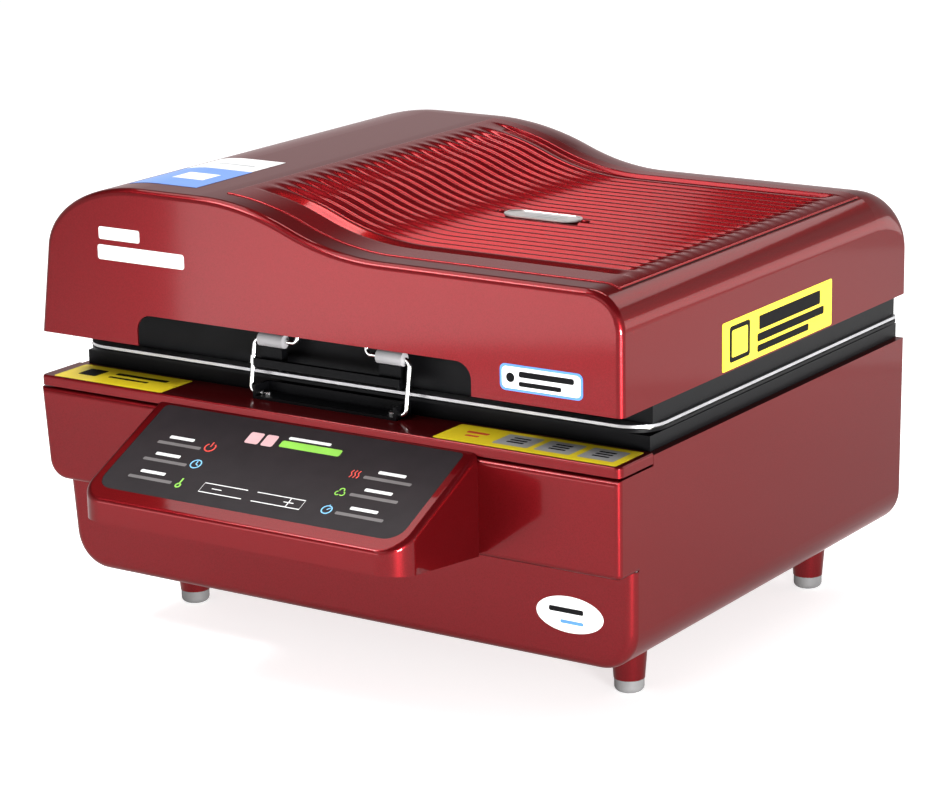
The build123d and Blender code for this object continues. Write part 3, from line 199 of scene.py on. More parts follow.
# --------------------------------------------------------------- materials
materials = {}


def new_material(name):
    """Start a material, kept under its name, and give its node tree and its shader."""
    material = bpy.data.materials.new(name)
    materials[name] = material
    material.use_nodes = True
    tree = material.node_tree
    return tree, tree.nodes["Principled BSDF"]


def add(tree, kind, **values):
    """New node in a tree, with some of its settings."""
    node = tree.nodes.new(kind)
    for key, value in values.items():
        setattr(node, key, value)
    return node


def noise(tree, scale, detail):
    """Cloudy pattern fixed to the object, with a number of cells per metre."""
    place_node = add(tree, "ShaderNodeTexCoord")
    texture = add(tree, "ShaderNodeTexNoise")
    texture.inputs["Scale"].default_value = scale
    texture.inputs["Detail"].default_value = detail
    tree.links.new(place_node.outputs["Object"], texture.inputs["Vector"])
    return texture.outputs["Fac"]


def ramp(tree, factor, stops):
    """Colour that blends between stops, each a position and a colour."""
    node = add(tree, "ShaderNodeValToRGB")
    elements = node.color_ramp.elements
    while len(elements) < len(stops):
        elements.new(0.5)
    for element, (position, colour) in zip(elements, stops):
        element.position = position
        element.color = (*colour, 1)
    tree.links.new(factor, node.inputs["Fac"])
    return node.outputs["Color"]


def bump(tree, height, distance, strength):
    """Normal that is tilted by a height pattern, up to a distance in metres."""
    node = add(tree, "ShaderNodeBump")
    node.inputs["Distance"].default_value = distance
    node.inputs["Strength"].default_value = strength
    tree.links.new(height, node.inputs["Height"])
    return node.outputs["Normal"]


RED_DARK = (0.11, 0.004, 0.005)
RED_LIGHT = (0.14, 0.005, 0.008)
CANDY_METALLIC = 0.7
CANDY_SPECULAR = 0.05
CANDY_EDGE_TINT = (0.35, 0.02, 0.02, 1)
CANDY_COAT = 0.3
FLAKE_SCALE = 1400.0
ORANGE_PEEL_SCALE = 90.0


def candy_paint(name, dark, light, roughness=0.3, coat_roughness=0.08):
    """Metallic lacquer: two close reds in fine flakes under a smooth clear coat."""
    tree, shader = new_material(name)
    flakes = noise(tree, FLAKE_SCALE, 1.0)
    tree.links.new(ramp(tree, flakes, [(0.35, dark), (0.65, light)]), shader.inputs["Base Color"])
    shader.inputs["Metallic"].default_value = CANDY_METALLIC
    shader.inputs["Roughness"].default_value = roughness
    shader.inputs["Specular IOR Level"].default_value = CANDY_SPECULAR
    shader.inputs["Specular Tint"].default_value = CANDY_EDGE_TINT
    shader.inputs["Coat Weight"].default_value = CANDY_COAT
    shader.inputs["Coat Roughness"].default_value = coat_roughness
    tree.links.new(bump(tree, flakes, 0.0002, 0.05), shader.inputs["Normal"])
    orange_peel = noise(tree, ORANGE_PEEL_SCALE, 1.0)
    tree.links.new(bump(tree, orange_peel, 0.0004, 0.03), shader.inputs["Coat Normal"])


MOTTLE_SCALE = 40.0
PLAIN_COAT_ROUGHNESS = 0.1
GRAIN_DEPTH = 0.0003
FINE = 900.0


def plain(name, colour, roughness=0.5, metallic=0.0, grain=600.0, grain_strength=0.08, coat=0.0, spread=0.12,
          gloss=0.5):
    """Evenly coloured surface with slight mottling and a fine surface grain."""
    tree, shader = new_material(name)
    low = tuple(c * (1 - spread) for c in colour)
    high = tuple(min(c * (1 + spread), 1) for c in colour)
    mottle = noise(tree, MOTTLE_SCALE, 4.0)
    tree.links.new(ramp(tree, mottle, [(0.3, low), (0.7, high)]), shader.inputs["Base Color"])
    shader.inputs["Roughness"].default_value = roughness
    shader.inputs["Metallic"].default_value = metallic
    shader.inputs["Specular IOR Level"].default_value = gloss
    shader.inputs["Coat Weight"].default_value = coat
    shader.inputs["Coat Roughness"].default_value = PLAIN_COAT_ROUGHNESS
    tree.links.new(bump(tree, noise(tree, grain, 3.0), GRAIN_DEPTH, grain_strength), shader.inputs["Normal"])


def ink(name, colour, **values):
    """Smooth printed colour or film."""
    plain(name, colour, grain=FINE, grain_strength=0.02, **values)


def make_materials():
    """Every material by its name."""
    candy_paint("red_paint", RED_DARK, RED_LIGHT)
    candy_paint("red_plastic", RED_DARK, RED_LIGHT, coat_roughness=0.04)
    # Painted light: the ribbed plate has the same red paint as the lid. These lighter reds paint in the light
    # that its ribs catch.
    candy_paint("grille_paint", (0.19, 0.006, 0.009), (0.24, 0.009, 0.013), roughness=0.24)
    plain("charcoal_paint", (0.004, 0.004, 0.0045), 0.4, grain=FINE, gloss=0.06)
    plain("black_steel", (0.0025, 0.0025, 0.003), 0.4, grain=FINE, gloss=0.06)
    plain("frame_steel", (0.36, 0.36, 0.37), 0.35, 0.8, grain=500.0, gloss=0.4)
    plain("table_aluminium", (0.62, 0.62, 0.64), 0.35, 1.0, grain=400.0)
    plain("seal_rubber", (0.008, 0.008, 0.008), 0.8, grain=700.0, grain_strength=0.2, gloss=0.2)
    plain("membrane_silicone", (0.7, 0.66, 0.6), 0.45, grain=300.0)
    plain("bright_steel", (0.82, 0.82, 0.82), 0.18, 1.0, grain=300.0, grain_strength=0.02)
    plain("sleeve_grey", (0.32, 0.31, 0.32), grain=700.0)
    plain("overlay_film", (0.02, 0.016, 0.018), 0.35, grain=FINE, grain_strength=0.03, gloss=0.08)
    plain("circuit_board", (0.02, 0.12, 0.05), 0.4)
    plain("badge_blank", (0.5, 0.47, 0.46), 0.3, 0.8, grain=500.0)
    plain("reflector_sheet", (0.85, 0.85, 0.86), 0.15, 1.0)
    plain("heater_quartz", (0.8, 0.76, 0.7), 0.25)
    plain("guard_wire", (0.6, 0.6, 0.6), 0.3, 1.0)
    plain("blanket_fibre", (0.8, 0.79, 0.74), 0.95, grain=250.0, grain_strength=0.6)
    plain("motor_housing", (0.03, 0.03, 0.032), 0.45, grain=500.0)
    plain("fan_aluminium", (0.6, 0.6, 0.62), 0.35, 1.0)
    plain("black_plastic", (0.015, 0.015, 0.015), 0.55, grain=800.0, grain_strength=0.15)
    plain("rocker_plastic", (0.4, 0.015, 0.015), 0.25, coat=0.3)
    plain("pump_alloy", (0.5, 0.5, 0.52), 0.5, 1.0, grain=260.0, grain_strength=0.3)
    plain("foot_rubber", (0.16, 0.16, 0.16), 0.6, grain_strength=0.2)
    plain("hose_rubber", (0.65, 0.65, 0.62))
    ink("label_white", (0.86, 0.86, 0.86), roughness=0.3, spread=0.02)
    plain("label_yellow", (0.98, 0.74, 0.015), 0.45, grain=FINE, grain_strength=0.03, spread=0.04)
    ink("label_blue", (0.06, 0.22, 0.68), roughness=0.3, spread=0.04)
    ink("label_dark", (0.006, 0.006, 0.0065), roughness=0.6, gloss=0.04)
    ink("label_grey", (0.42, 0.42, 0.43), roughness=0.4)
    ink("print_grey", (0.13, 0.12, 0.12), roughness=0.4)
    ink("print_red", (0.75, 0.05, 0.03), roughness=0.4)
    ink("print_pink", (0.75, 0.45, 0.47), roughness=0.4)
    ink("print_green", (0.25, 0.62, 0.06), roughness=0.4)
    ink("print_blue", (0.2, 0.55, 0.85), roughness=0.4)
    plain("seam_shadow", (0.02, 0.002, 0.002), 0.7, grain=FINE, gloss=0.1)
    plain("fitting_brass", (0.7, 0.5, 0.22), 0.3, 1.0)


# -------------------------------------------------- shape of the lid's top
LID_HALF_WIDTH = 300.0
FLAT_TOP = 376.0
HUMP_TOP = 413.0
CURVE_FOOT = 68.6
CURVE_CREST = -119.0
CORNER_X = 267.0
CORNER_RADIUS = 33.0
CURVE_MIDDLE = (CURVE_FOOT + CURVE_CREST) / 2
CURVE_RUN = CURVE_FOOT - CURVE_CREST
CURVE_RISE = HUMP_TOP - FLAT_TOP
CURVE_RADIUS = (CURVE_RUN ** 2 + CURVE_RISE ** 2) / (4 * CURVE_RISE)
SHOULDER_X = -184.0
SHOULDER_Z = 349.5
SHOULDER_WIDTH = 105.0


def lid_height(x):
    """Height of the lid's top skin over the place x, which is the same from front to back."""
    if x >= CORNER_X:
        return FLAT_TOP - CORNER_RADIUS + sqrt(CORNER_RADIUS ** 2 - (x - CORNER_X) ** 2)
    if x >= CURVE_FOOT:
        return FLAT_TOP
    if x >= CURVE_MIDDLE:
        return FLAT_TOP + CURVE_RADIUS - sqrt(CURVE_RADIUS ** 2 - (CURVE_FOOT - x) ** 2)
    if x >= CURVE_CREST:
        return HUMP_TOP - CURVE_RADIUS + sqrt(CURVE_RADIUS ** 2 - (x - CURVE_CREST) ** 2)
    if x >= SHOULDER_X:
        return HUMP_TOP
    across = (x - SHOULDER_X) / SHOULDER_WIDTH
    return SHOULDER_Z + (HUMP_TOP - SHOULDER_Z) * sqrt(1 - across ** 2)


SLOPE_STEP = 0.5


def lid_point(x, y, rise):
    """Point at a height of rise over the lid's skin, square to it."""
    slope = (lid_height(x + SLOPE_STEP) - lid_height(x - SLOPE_STEP)) / (2 * SLOPE_STEP)
    length = sqrt(1 + slope ** 2)
    return place(x - slope / length * rise, y, lid_height(x) + rise / length)


# -------------------------------------------------------------- mesh tools
def new_piece(name, body, material, bm, sharp=30.0):
    """Visible piece that moves with a body, smooth except where faces meet at more than an angle."""
    bmesh.ops.recalc_face_normals(bm, faces=bm.faces)
    mesh = bpy.data.meshes.new(name)
    bm.to_mesh(mesh)
    bm.free()
    mesh.shade_smooth()
    mesh.set_sharp_from_angle(angle=radians(sharp))
    piece = bpy.data.objects.new(name, mesh)
    bpy.context.scene.collection.objects.link(piece)
    mesh.materials.append(material)
    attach(piece, body)
    return piece


def smoothstep(start, end, value):
    """Soft step from 0 at the start to 1 at the end."""
    t = min(max((value - start) / (end - start), 0.0), 1.0)
    return t * t * (3 - 2 * t)


def spread(start, end, count):
    """Even steps from start to end, both included."""
    return [start + (end - start) * i / count for i in range(count + 1)]


def closed_skin(bm, columns, rows, top, bottom):
    """Sheet between two surfaces, each a function of a column and a row value."""
    upper = [[bm.verts.new(top(u, v)) for v in rows] for u in columns]
    lower = [[bm.verts.new(bottom(u, v)) for v in rows] for u in columns]
    for i in range(len(columns) - 1):
        for j in range(len(rows) - 1):
            bm.faces.new((upper[i][j], upper[i + 1][j], upper[i + 1][j + 1], upper[i][j + 1]))
            bm.faces.new((lower[i][j], lower[i][j + 1], lower[i + 1][j + 1], lower[i + 1][j]))
    for line in (0, -1):
        for j in range(len(rows) - 1):
            bm.faces.new((upper[line][j], upper[line][j + 1], lower[line][j + 1], lower[line][j]))
        for i in range(len(columns) - 1):
            bm.faces.new((upper[i][line], upper[i + 1][line], lower[i + 1][line], lower[i][line]))


class Plane:
    """A flat place on the object, with axes across and up it and a normal out of it."""

    def __init__(self, origin, across, up):
        self.origin = place(*origin)
        self.across = Vector(across).normalized()
        self.up = Vector(up).normalized()
        self.out = self.across.cross(self.up)

    def point(self, x, y, rise):
        """Point of the frame, in metres, from a place and a height over the plane in millimetres."""
        return self.origin + (self.across * x + self.up * y + self.out * rise) / 1000


def rounded_rectangle(x0, x1, y0, y1, radius, steps=8):
    """Outline of a rectangle with round corners."""
    centres = ((x1 - radius, y1 - radius), (x0 + radius, y1 - radius),
               (x0 + radius, y0 + radius), (x1 - radius, y0 + radius))
    points = []
    for quarter, (x, y) in enumerate(centres):
        for i in range(steps + 1):
            angle = (quarter + i / steps) * pi / 2
            points.append((x + radius * cos(angle), y + radius * sin(angle)))
    return points


def ellipse(x, y, half_width, half_height, steps=48):
    angles = [2 * pi * i / steps for i in range(steps)]
    return [(x + half_width * cos(a), y + half_height * sin(a)) for a in angles]


def add_plate(bm, plane, outline, low, high):
    """Thin plate with a convex outline, between two heights over its plane."""
    top = [bm.verts.new(plane.point(x, y, high)) for x, y in outline]
    bottom = [bm.verts.new(plane.point(x, y, low)) for x, y in outline]
    bm.faces.new(top)
    bm.faces.new(list(reversed(bottom)))
    for i in range(len(outline)):
        following = (i + 1) % len(outline)
        bm.faces.new((top[i], bottom[i], bottom[following], top[following]))


def add_stroke(bm, plane, path, width, low, high):
    """Thin line of an even width along a path of points."""
    sides = []
    for i, (x, y) in enumerate(path):
        before = path[max(i - 1, 0)]
        after = path[min(i + 1, len(path) - 1)]
        dx = after[0] - before[0]
        dy = after[1] - before[1]
        length = sqrt(dx * dx + dy * dy)
        nx = -dy / length * width / 2
        ny = dx / length * width / 2
        sides.append(((x + nx, y + ny), (x - nx, y - ny)))
    rings = [[bm.verts.new(plane.point(*a, high)), bm.verts.new(plane.point(*b, high)),
              bm.verts.new(plane.point(*b, low)), bm.verts.new(plane.point(*a, low))] for a, b in sides]
    for first, second in zip(rings, rings[1:]):
        for k in range(4):
            following = (k + 1) % 4
            bm.faces.new((first[k], first[following], second[following], second[k]))
    bm.faces.new(rings[0])
    bm.faces.new(list(reversed(rings[-1])))


def arc_path(x, y, radius, start, end, steps=20):
    """Points along an arc between two angles in degrees."""
    angles = [radians(a) for a in spread(start, end, steps)]
    return [(x + radius * cos(a), y + radius * sin(a)) for a in angles]


# ------------------------------------------------------------ grille panel
GRILLE_LEFT, GRILLE_RIGHT = -105.0, 282.0
GRILLE_FRONT, GRILLE_BACK = 26.0, 440.0
GRILLE_THICKNESS = 1.0
RIB_FIRST = 72.0
RIB_LAST = 400.0
RIB_COUNT = 24
RIB_PITCH = (RIB_LAST - RIB_FIRST) / (RIB_COUNT - 1)
RIB_HEIGHT = 3.4
FIELD_DEPTH = 3.6
FIELD_FRONT, FIELD_BACK = 54.0, 424.0
FIELD_LEFT = (-98.0, -62.0)
FIELD_RIGHT = (256.0, 271.0)
FIELD_RAMP = 3.0
RIB_SHARPNESS = 1.2
SHEET_THICKNESS = 1.0
SHEET_LOWEST_EDGE = -0.05
GRILLE_CELLS = (60, 328)
EDGE_STEPS = (0.0, 0.1, 0.4, 0.9, 1.5)
EDGE_WIDTH = 2.0
SEAM_OFFSET = 0.6
SEAM_HALF_WIDTH = 0.8
SEAM_END_GAP = 4.0
SEAM_HIGH, SEAM_LOW = 0.12, -0.2


def rib_shape(y):
    """Corrugation, from 0 in a valley to 1 on a crest, with a ramp at both ends."""
    if y < RIB_FIRST:
        return 1 - smoothstep(0, RIB_FIRST - FIELD_FRONT - FIELD_RAMP, RIB_FIRST - y)
    if y > RIB_LAST:
        return 1 - smoothstep(0, FIELD_BACK - RIB_LAST - FIELD_RAMP, y - RIB_LAST)
    return (0.5 + 0.5 * cos(2 * pi * (y - RIB_FIRST) / RIB_PITCH)) ** RIB_SHARPNESS


def field_share(x, y):
    """How far a place lies in the recessed field, from 0 on the plate's rim to 1 inside."""
    front = smoothstep(FIELD_FRONT, FIELD_FRONT + FIELD_RAMP, y)
    back = 1 - smoothstep(FIELD_BACK - FIELD_RAMP, FIELD_BACK, y)
    right = 1 - smoothstep(*FIELD_RIGHT, x)
    left = smoothstep(*FIELD_LEFT, x)
    return front * back * right * left


def grille_rise(x, y):
    """Height of the ribbed plate over the lid's skin, with a rounded outer edge."""
    edge = min(x - GRILLE_LEFT, GRILLE_RIGHT - x, y - GRILLE_FRONT, GRILLE_BACK - y, GRILLE_THICKNESS)
    rounded = sqrt(max(edge * (2 * GRILLE_THICKNESS - edge), 0.0))
    return rounded - field_share(x, y) * (FIELD_DEPTH - RIB_HEIGHT * rib_shape(y))


def fine_ends(start, end, count):
    """Even steps with a few closer ones at both ends, for the plate's rounded edges."""
    inner = spread(start + EDGE_WIDTH, end - EDGE_WIDTH, count)
    return [start + d for d in EDGE_STEPS] + inner + [end - d for d in reversed(EDGE_STEPS)]


def make_grille(materials):
    """Ribbed plate let into the lid's top, and near-black strips along its sides that paint the shade in the
    gaps beside it.
    """
    columns = fine_ends(GRILLE_LEFT, GRILLE_RIGHT, GRILLE_CELLS[0])
    rows = fine_ends(GRILLE_FRONT, GRILLE_BACK, GRILLE_CELLS[1])
    bm = bmesh.new()
    closed_skin(bm, columns, rows,
                lambda x, y: lid_point(x, y, grille_rise(x, y)),
                lambda x, y: lid_point(x, y, min(SHEET_LOWEST_EDGE, grille_rise(x, y) - SHEET_THICKNESS)))
    piece = new_piece("ribbed_grille", "lid", materials["grille_paint"], bm, 50)
    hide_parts("grille_panel")
    # Painted shade: near-black strips flush with the lid stand in for the shadow in the gaps beside the
    # plate.
    seams = bmesh.new()
    for x in (GRILLE_LEFT - SEAM_OFFSET, GRILLE_RIGHT + SEAM_OFFSET):
        closed_skin(seams, [x - SEAM_HALF_WIDTH, x + SEAM_HALF_WIDTH],
                    spread(GRILLE_FRONT + SEAM_END_GAP, GRILLE_BACK - SEAM_END_GAP, 20),
                    lambda u, v: lid_point(u, v, SEAM_HIGH), lambda u, v: lid_point(u, v, SEAM_LOW))
    new_piece("grille_seam_shade", "lid", materials["seam_shadow"], seams)


# ------------------------------------------------------------- metal badge
BADGE_X, BADGE_Y = 91.0, 217.0
BADGE_HALF_LENGTH, BADGE_HALF_WIDTH = 38.0, 13.0
BADGE_BASE = 0.8
BADGE_TOP = 2.4
BADGE_RIM = 2.2
# Steps from the badge's outer edge inwards: inset and height.
BADGE_PROFILE = (
    (0.0, BADGE_BASE), (0.0, BADGE_TOP - 0.5), (0.15, BADGE_TOP - 0.15), (0.5, BADGE_TOP),
    (BADGE_RIM - 0.4, BADGE_TOP), (BADGE_RIM, BADGE_TOP - 0.6), (8.0, BADGE_TOP - 0.55),
    (12.5, BADGE_TOP - 0.5),
)
BADGE_BARS = ((-22, 22, 1.5, 4.5), (-16, 16, -4.5, -2.5))
BADGE_BAR_HIGH, BADGE_BAR_LOW = BADGE_TOP - 0.3, BADGE_TOP - 0.7
BOSS_OFFSET = 5.0
BOSS_RISE = 0.6
BOSS_RADIUS = 3.0
BOSS_STRETCH = (1.5, 1.0, 0.6)


def badge_ring(bm, inset, rise, steps=72):
    """Closed loop of points at an inset from the badge's rounded outline."""
    ring = []
    straight = BADGE_HALF_LENGTH - BADGE_HALF_WIDTH
    radius = BADGE_HALF_WIDTH - inset
    for i in range(steps):
        angle = 2 * pi * i / steps
        x = radius * cos(angle) + (straight if cos(angle) > 0 else -straight)
        ring.append(bm.verts.new(lid_point(BADGE_X + x, BADGE_Y + radius * sin(angle), rise)))
    return ring


def make_badge(materials):
    """Blank metal badge with a raised rim, between two bosses on the ribs."""
    bm = bmesh.new()
    rings = [badge_ring(bm, inset, rise) for inset, rise in BADGE_PROFILE]
    for first, second in zip(rings, rings[1:]):
        for i in range(len(first)):
            following = (i + 1) % len(first)
            bm.faces.new((first[i], first[following], second[following], second[i]))
    bm.faces.new(rings[-1])
    bm.faces.new(list(reversed(rings[0])))
    piece = new_piece("badge_plate", "lid", materials["badge_blank"], bm, 40)
    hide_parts("grille_badge")
    bars = bmesh.new()
    for x0, x1, y0, y1 in BADGE_BARS:
        closed_skin(bars, spread(BADGE_X + x0, BADGE_X + x1, 20), spread(BADGE_Y + y0, BADGE_Y + y1, 2),
                    lambda x, y: lid_point(x, y, BADGE_BAR_HIGH), lambda x, y: lid_point(x, y, BADGE_BAR_LOW))
    new_piece("badge_bars", "lid", materials["label_grey"], bars)
    bosses = bmesh.new()
    for side in (-1, 1):
        x = BADGE_X + side * (BADGE_HALF_LENGTH + BOSS_OFFSET)
        centre = lid_point(x, BADGE_Y, BADGE_BASE + BOSS_RISE)
        made = bmesh.ops.create_uvsphere(bosses, u_segments=24, v_segments=12, radius=BOSS_RADIUS / 1000)
        bmesh.ops.scale(bosses, vec=BOSS_STRETCH, verts=made["verts"])
        bmesh.ops.translate(bosses, vec=centre, verts=made["verts"])
    new_piece("badge_bosses", "lid", materials["grille_paint"], bosses, 60)


# ------------------------------------------------------- plain labels and bars
LEDGE_HEIGHT = 236.0
BASE_FRONT_DEPTH = 17.0
LID_FRONT = Plane((0, 0, 0), (1, 0, 0), (0, 0, 1))
LID_RIGHT = Plane((LID_HALF_WIDTH, 0, 0), (0, 1, 0), (0, 0, 1))
LEDGE_TOP = Plane((0, 0, LEDGE_HEIGHT), (1, 0, 0), (0, 1, 0))
BASE_FRONT = Plane((0, BASE_FRONT_DEPTH, 0), (1, 0, 0), (0, 0, 1))
CONSOLE_SLOPE = 0.481
CONSOLE_HINGE_DEPTH = 5.0
CONSOLE_TOP = 229.1
CONSOLE = Plane((0, 0, CONSOLE_TOP + CONSOLE_HINGE_DEPTH * CONSOLE_SLOPE), (1, 0, 0), (0, 1, CONSOLE_SLOPE))
FILM = 0.25
INK = 0.08


def plates(name, body, slot, material, plane, outlines, low, high):
    """Piece made of thin plates on one plane, between two heights over it."""
    bm = bmesh.new()
    for outline in outlines:
        add_plate(bm, plane, outline, low, high)
    return new_piece(name, body, material, bm)


def curved_film(name, slot, material, x0, x1, y0, y1, low, high):
    """Thin film on the lid's curved top."""
    bm = bmesh.new()
    closed_skin(bm, spread(x0, x1, 40), spread(y0, y1, 30),
                lambda x, y: lid_point(x, y, high), lambda x, y: lid_point(x, y, low))
    return new_piece(name, "lid", material, bm)


ON_SURFACE = (0, FILM)
ON_FILM = (FILM, FILM + INK)
ON_INK = (FILM + INK, FILM + 2 * INK)
PICTURE_LEFTS = (171, 211, 252)
LEDGE_LABELS = {"left": (-287, -165), "right": (119, 294)}


def lid_front_labels(materials):
    """White bars on the left of the lid's front and a small framed plate on its right."""
    white = materials["label_white"]
    plates("lid_front_bars", "lid", "badge_blank", white, LID_FRONT,
           [rounded_rectangle(-227, -182, 366, 377, 2),
            rounded_rectangle(-229, -134, 348, 361, 2.5)], *ON_SURFACE)
    plates("lid_front_plate", "lid", "badge_blank", materials["label_blue"], LID_FRONT,
           [rounded_rectangle(186, 264, 285, 307, 5)], *ON_SURFACE)
    plates("lid_front_plate_field", "lid", "badge_blank", white, LID_FRONT,
           [rounded_rectangle(188, 262, 287, 305, 4)], *ON_FILM)
    plates("lid_front_plate_bars", "lid", "badge_blank", materials["label_dark"], LID_FRONT,
           [rounded_rectangle(204, 256, 297, 302, 2), rounded_rectangle(204, 244, 289.5, 293.5, 1.5),
            ellipse(196, 296, 4, 4, 24)], *ON_INK)


def side_labels(materials):
    """Yellow label with dark bars on the lid's right side."""
    yellow = materials["label_yellow"]
    plates("side_label", "lid", "badge_blank", yellow, LID_RIGHT,
           [rounded_rectangle(160, 355, 276.5, 318, 2)], *ON_SURFACE)
    plates("side_label_bars", "lid", "badge_blank", materials["label_dark"], LID_RIGHT,
           [rounded_rectangle(223, 333, 300, 312, 1.5), rounded_rectangle(220, 340, 290, 297, 1.5),
            rounded_rectangle(220, 312, 281, 287, 1.5), rounded_rectangle(172, 207, 282, 313, 3)], *ON_FILM)
    plates("side_label_field", "lid", "badge_blank", yellow, LID_RIGHT,
           [rounded_rectangle(176, 203, 286, 309, 2)], *ON_INK)


def ledge_labels(materials):
    """Yellow strips on the ledge: dark bars on the left one, grey pictures and red bars on the right one."""
    dark = materials["label_dark"]
    for side, (x0, x1) in LEDGE_LABELS.items():
        plates("ledge_label_" + side, "base", "badge_blank", materials["label_yellow"], LEDGE_TOP,
               [rounded_rectangle(x0, x1, -1, 44, 2)], *ON_SURFACE)
    plates("ledge_label_bars_left", "base", "badge_blank", dark, LEDGE_TOP,
           [rounded_rectangle(-272, -252, 14, 34, 2), rounded_rectangle(-240, -182, 27, 33, 1.5),
            rounded_rectangle(-240, -196, 17, 21, 1.2)], *ON_FILM)
    plates("ledge_label_fields", "base", "badge_blank", materials["label_grey"], LEDGE_TOP,
           [rounded_rectangle(x, x + 34, 8, 37, 2) for x in PICTURE_LEFTS], *ON_FILM)
    plates("ledge_label_marks", "base", "badge_blank", dark, LEDGE_TOP,
           [rounded_rectangle(x + 9, x + 25, y, y + 3, 1) for x in PICTURE_LEFTS for y in (16, 22, 28)],
           *ON_INK)
    plates("ledge_label_spots", "base", "badge_blank", materials["print_red"], LEDGE_TOP,
           [rounded_rectangle(136, 157, 24, 29, 1.5), rounded_rectangle(140, 153, 15, 19, 1.5)], *ON_FILM)


def base_labels(materials):
    """White oval with two short bars, low on the front of the base."""
    plates("base_oval", "base", "badge_blank", materials["label_white"], BASE_FRONT,
           [ellipse(239, 98, 32, 15.5)], *ON_SURFACE)
    plates("base_oval_bars", "base", "badge_blank", materials["label_dark"], BASE_FRONT,
           [rounded_rectangle(219, 252, 99, 103.5, 1.5)], *ON_FILM)
    plates("base_oval_lines", "base", "badge_blank", materials["label_blue"], BASE_FRONT,
           [rounded_rectangle(230, 252, 90, 93, 1.2)], *ON_FILM)


def top_labels(materials):
    """Two-coloured label over the lid's hump."""
    white = materials["label_white"]
    sunk = -0.1
    curved_film("top_label_front", "badge_blank", materials["label_blue"], -216, -142, 31, 110, sunk, FILM)
    curved_film("top_label_back", "badge_blank", white, -216, -143, 110, 160, sunk, FILM)
    curved_film("top_label_bar", "badge_blank", white, -192, -158, 60, 86, *ON_FILM)
    curved_film("top_label_lines", "badge_blank", materials["label_grey"], -196, -156, 130, 134, *ON_FILM)


def make_labels(materials):
    """Plain bars and fields where the machine carries its stickers."""
    lid_front_labels(materials)
    side_labels(materials)
    ledge_labels(materials)
    base_labels(materials)
    top_labels(materials)


# ----------------------------------------------------------- console prints
PRINT_LOW, PRINT_HIGH = -0.24, -0.1
ROW_PLACES = (53, 75, 98)
CAPTION_RISE = 8
FIELD_ENDS = ((-132, -86), (83, 130))
CAPTION_ENDS = ((-124, -98), (93, 120))
BAR_HEIGHT = 3.4
LEFT_ICON = -78
RIGHT_ICON = 73.5
KEY_MIDDLE = 96.5
BLADE_OFFSET = 2.6
BLADE_RADIUS = 2.2


def down(path):
    """Points given as x and distance down the slope, as x and distance up it."""
    return [(x, -v) for x, v in path]


def bar(x0, x1, v, height, radius=1.0):
    """Outline of a bar across the slope, at a distance down it."""
    return rounded_rectangle(x0, x1, -v - height / 2, -v + height / 2, radius)


def console_films(name, material, outlines):
    plates("console_" + name, "base", "overlay_film", material, CONSOLE, outlines, PRINT_LOW, PRINT_HIGH)


def console_strokes(name, material, paths, width):
    """Drawn lines of one width on the console's film."""
    bm = bmesh.new()
    for path in paths:
        add_stroke(bm, CONSOLE, path, width, PRINT_LOW, PRINT_HIGH)
    new_piece("console_" + name, "base", material, bm)


def console_bars(materials):
    """Bars beside the icons, and coloured bars in the place of the console's title."""
    white = materials["label_white"]
    console_films("bar_fields", materials["print_grey"],
                  [bar(*ends, v, BAR_HEIGHT, 1.2) for ends in FIELD_ENDS for v in ROW_PLACES])
    console_films("bar_captions", white,
                  [bar(*ends, v - CAPTION_RISE, BAR_HEIGHT, 1) for ends in CAPTION_ENDS for v in ROW_PLACES])
    console_films("title_left", materials["print_pink"], [bar(-51, -37, 30, 14, 2), bar(-34, -22, 30, 14, 2)])
    console_films("title_middle", white, [bar(-12, 31, 23, 3.2, 1.2)])
    console_films("title_right", materials["print_green"], [bar(-16, 46, 31, 8, 2)])


def console_keys(materials):
    """Two open key outlines with a minus and a plus sign."""
    console_strokes("key_outline", materials["label_white"], [
        down([(-10, 91), (-54.6, 91), (-54.6, 102), (-10, 102)]),
        down([(0, 91), (49, 91), (49, 102), (0, 102)]),
        down([(-44, KEY_MIDDLE), (-34, KEY_MIDDLE)]),
        down([(30, KEY_MIDDLE), (40, KEY_MIDDLE)]),
        down([(35, 91.8), (35, 101.2)])], 0.9)


def console_icons(materials):
    """Power, clock and thermometer on the left, heat, fan and timer on the right."""
    red, green, blue = (materials["print_" + colour] for colour in ("red", "green", "blue"))
    console_strokes("power_icon", red, [
        arc_path(LEFT_ICON, -49.5, 5, -230, 50), down([(LEFT_ICON, 43), (LEFT_ICON, 49)])], 1.3)
    console_strokes("clock_icon", blue, [
        arc_path(LEFT_ICON, -71.6, 5, 0, 360), down([(LEFT_ICON, 68), (LEFT_ICON, 71.6), (-75.4, 73)])], 1.1)
    console_strokes("thermometer_icon", green, [
        down([(LEFT_ICON, 90.5), (LEFT_ICON, 98)]), arc_path(LEFT_ICON, -99.5, 2.2, 0, 360)], 1.6)
    waves = [RIGHT_ICON + shift for shift in (-3.5, 0, 3.5)]
    console_strokes("heating_icon", red, [
        down([(x, 56), (x + 1, 53), (x - 1, 50), (x, 47)]) for x in waves], 1.1)
    blades = []
    for turn in (90, 210, 330):
        x = RIGHT_ICON + BLADE_OFFSET * cos(radians(turn))
        y = -74.6 + BLADE_OFFSET * sin(radians(turn))
        blades.append(arc_path(x, y, BLADE_RADIUS, turn - 110, turn + 110))
    console_strokes("fan_icon", green, blades, 1.1)
    console_strokes("timer_icon", blue, [
        arc_path(RIGHT_ICON, -96.5, 4.6, 0, 360), down([(RIGHT_ICON, 90.4), (RIGHT_ICON, 91.6)]),
        down([(RIGHT_ICON, 96.5), (76, 94)])], 1.1)


def make_console_prints(materials):
    """Printed bars, keys and generic icons on the console's dark film."""
    console_bars(materials)
    console_keys(materials)
    console_icons(materials)


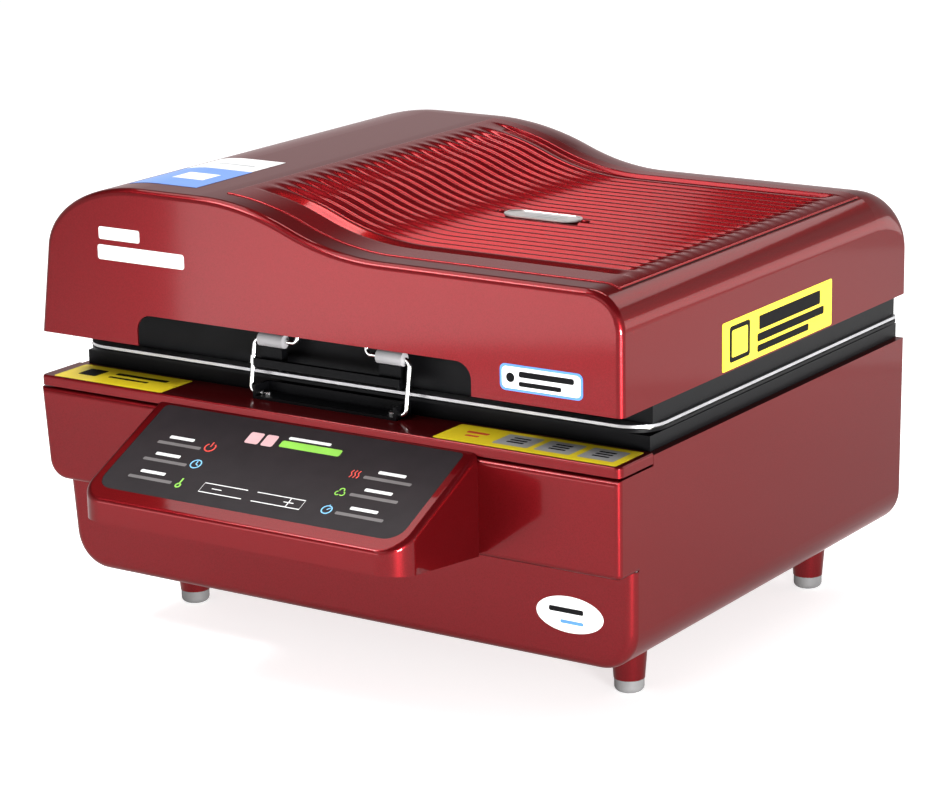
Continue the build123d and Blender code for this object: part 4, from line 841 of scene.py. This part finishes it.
# ------------------------------------------------------------- soft pieces
MEMBRANE_SAG = 0.002
MEMBRANE_MIDDLE = 0.0006
MEMBRANE_HALF_THICKNESS = 0.0005
CLAMPED_EDGE = 0.03
QUILT_CROWN = 0.0035
QUILT_CELLS = 6
QUILT_EDGE_SHARE = 0.45
QUILT_EDGE_STEEPNESS = 14


def make_membrane(materials):
    """Silicone sheet stretched in its frame, slack by two millimetres in the middle."""
    low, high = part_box("membrane")
    size = high - low
    bm = bmesh.new()

    def level(x, y):
        along = min((x - low.x) / CLAMPED_EDGE, (high.x - x) / CLAMPED_EDGE, 1.0)
        back = min((y - low.y) / CLAMPED_EDGE, (high.y - y) / CLAMPED_EDGE, 1.0)
        inside = smoothstep(0.8, 1.0, min(along, back))
        bow = sin(pi * (x - low.x) / size.x) * sin(pi * (y - low.y) / size.y)
        return low.z + MEMBRANE_MIDDLE - MEMBRANE_SAG * inside * bow

    closed_skin(bm, spread(low.x, high.x, 80), spread(low.y, high.y, 60),
                lambda x, y: Vector((x, y, level(x, y) + MEMBRANE_HALF_THICKNESS)),
                lambda x, y: Vector((x, y, level(x, y) - MEMBRANE_HALF_THICKNESS)))
    silicone = materials["membrane_silicone"]
    piece = new_piece("silicone_membrane", "membrane_frame", silicone, bm)
    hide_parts("membrane")


def make_insulation(materials):
    """Quilted fibre blanket over the oven chamber, crowned between its stitched lines."""
    low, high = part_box("insulation_blanket")
    size = high - low
    bm = bmesh.new()

    def top(x, y):
        u = (x - low.x) / size.x
        v = (y - low.y) / size.y
        crown = abs(sin(pi * u * QUILT_CELLS) * sin(pi * v * QUILT_CELLS)) ** 0.5
        rim = min(min(u, 1 - u, v, 1 - v) * QUILT_EDGE_STEEPNESS, 1.0)
        rounded = sqrt(max(rim * (2 - rim), 0.0))
        thickness = size.z * (QUILT_EDGE_SHARE + (1 - QUILT_EDGE_SHARE) * rounded)
        return Vector((x, y, low.z + thickness - QUILT_CROWN * (1 - crown)))

    closed_skin(bm, spread(low.x, high.x, 96), spread(low.y, high.y, 96), top,
                lambda x, y: Vector((x, y, low.z)))
    piece = new_piece("quilted_blanket", "lid", materials["blanket_fibre"], bm, 60)
    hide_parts("insulation_blanket")


def make_details(materials):
    """Every piece that only the scene has, or that it shows in place of a solid."""
    make_grille(materials)
    make_badge(materials)
    make_labels(materials)
    make_console_prints(materials)
    make_membrane(materials)
    make_insulation(materials)


def dress_nodes(materials):
    """Put each solid's material on it, by the slot that its record names."""
    for part in frame["record"]["subparts"]:
        node = nodes[part["node"]]
        node.data.materials.clear()
        node.data.materials.append(materials[part["material_slot"]])


make_camera()
make_world()
make_stage()
for lamp in LAMPS:
    area_light(*lamp)
make_materials()
dress_nodes(materials)
make_details(materials)

bpy.context.scene.view_settings.view_transform = "Standard"
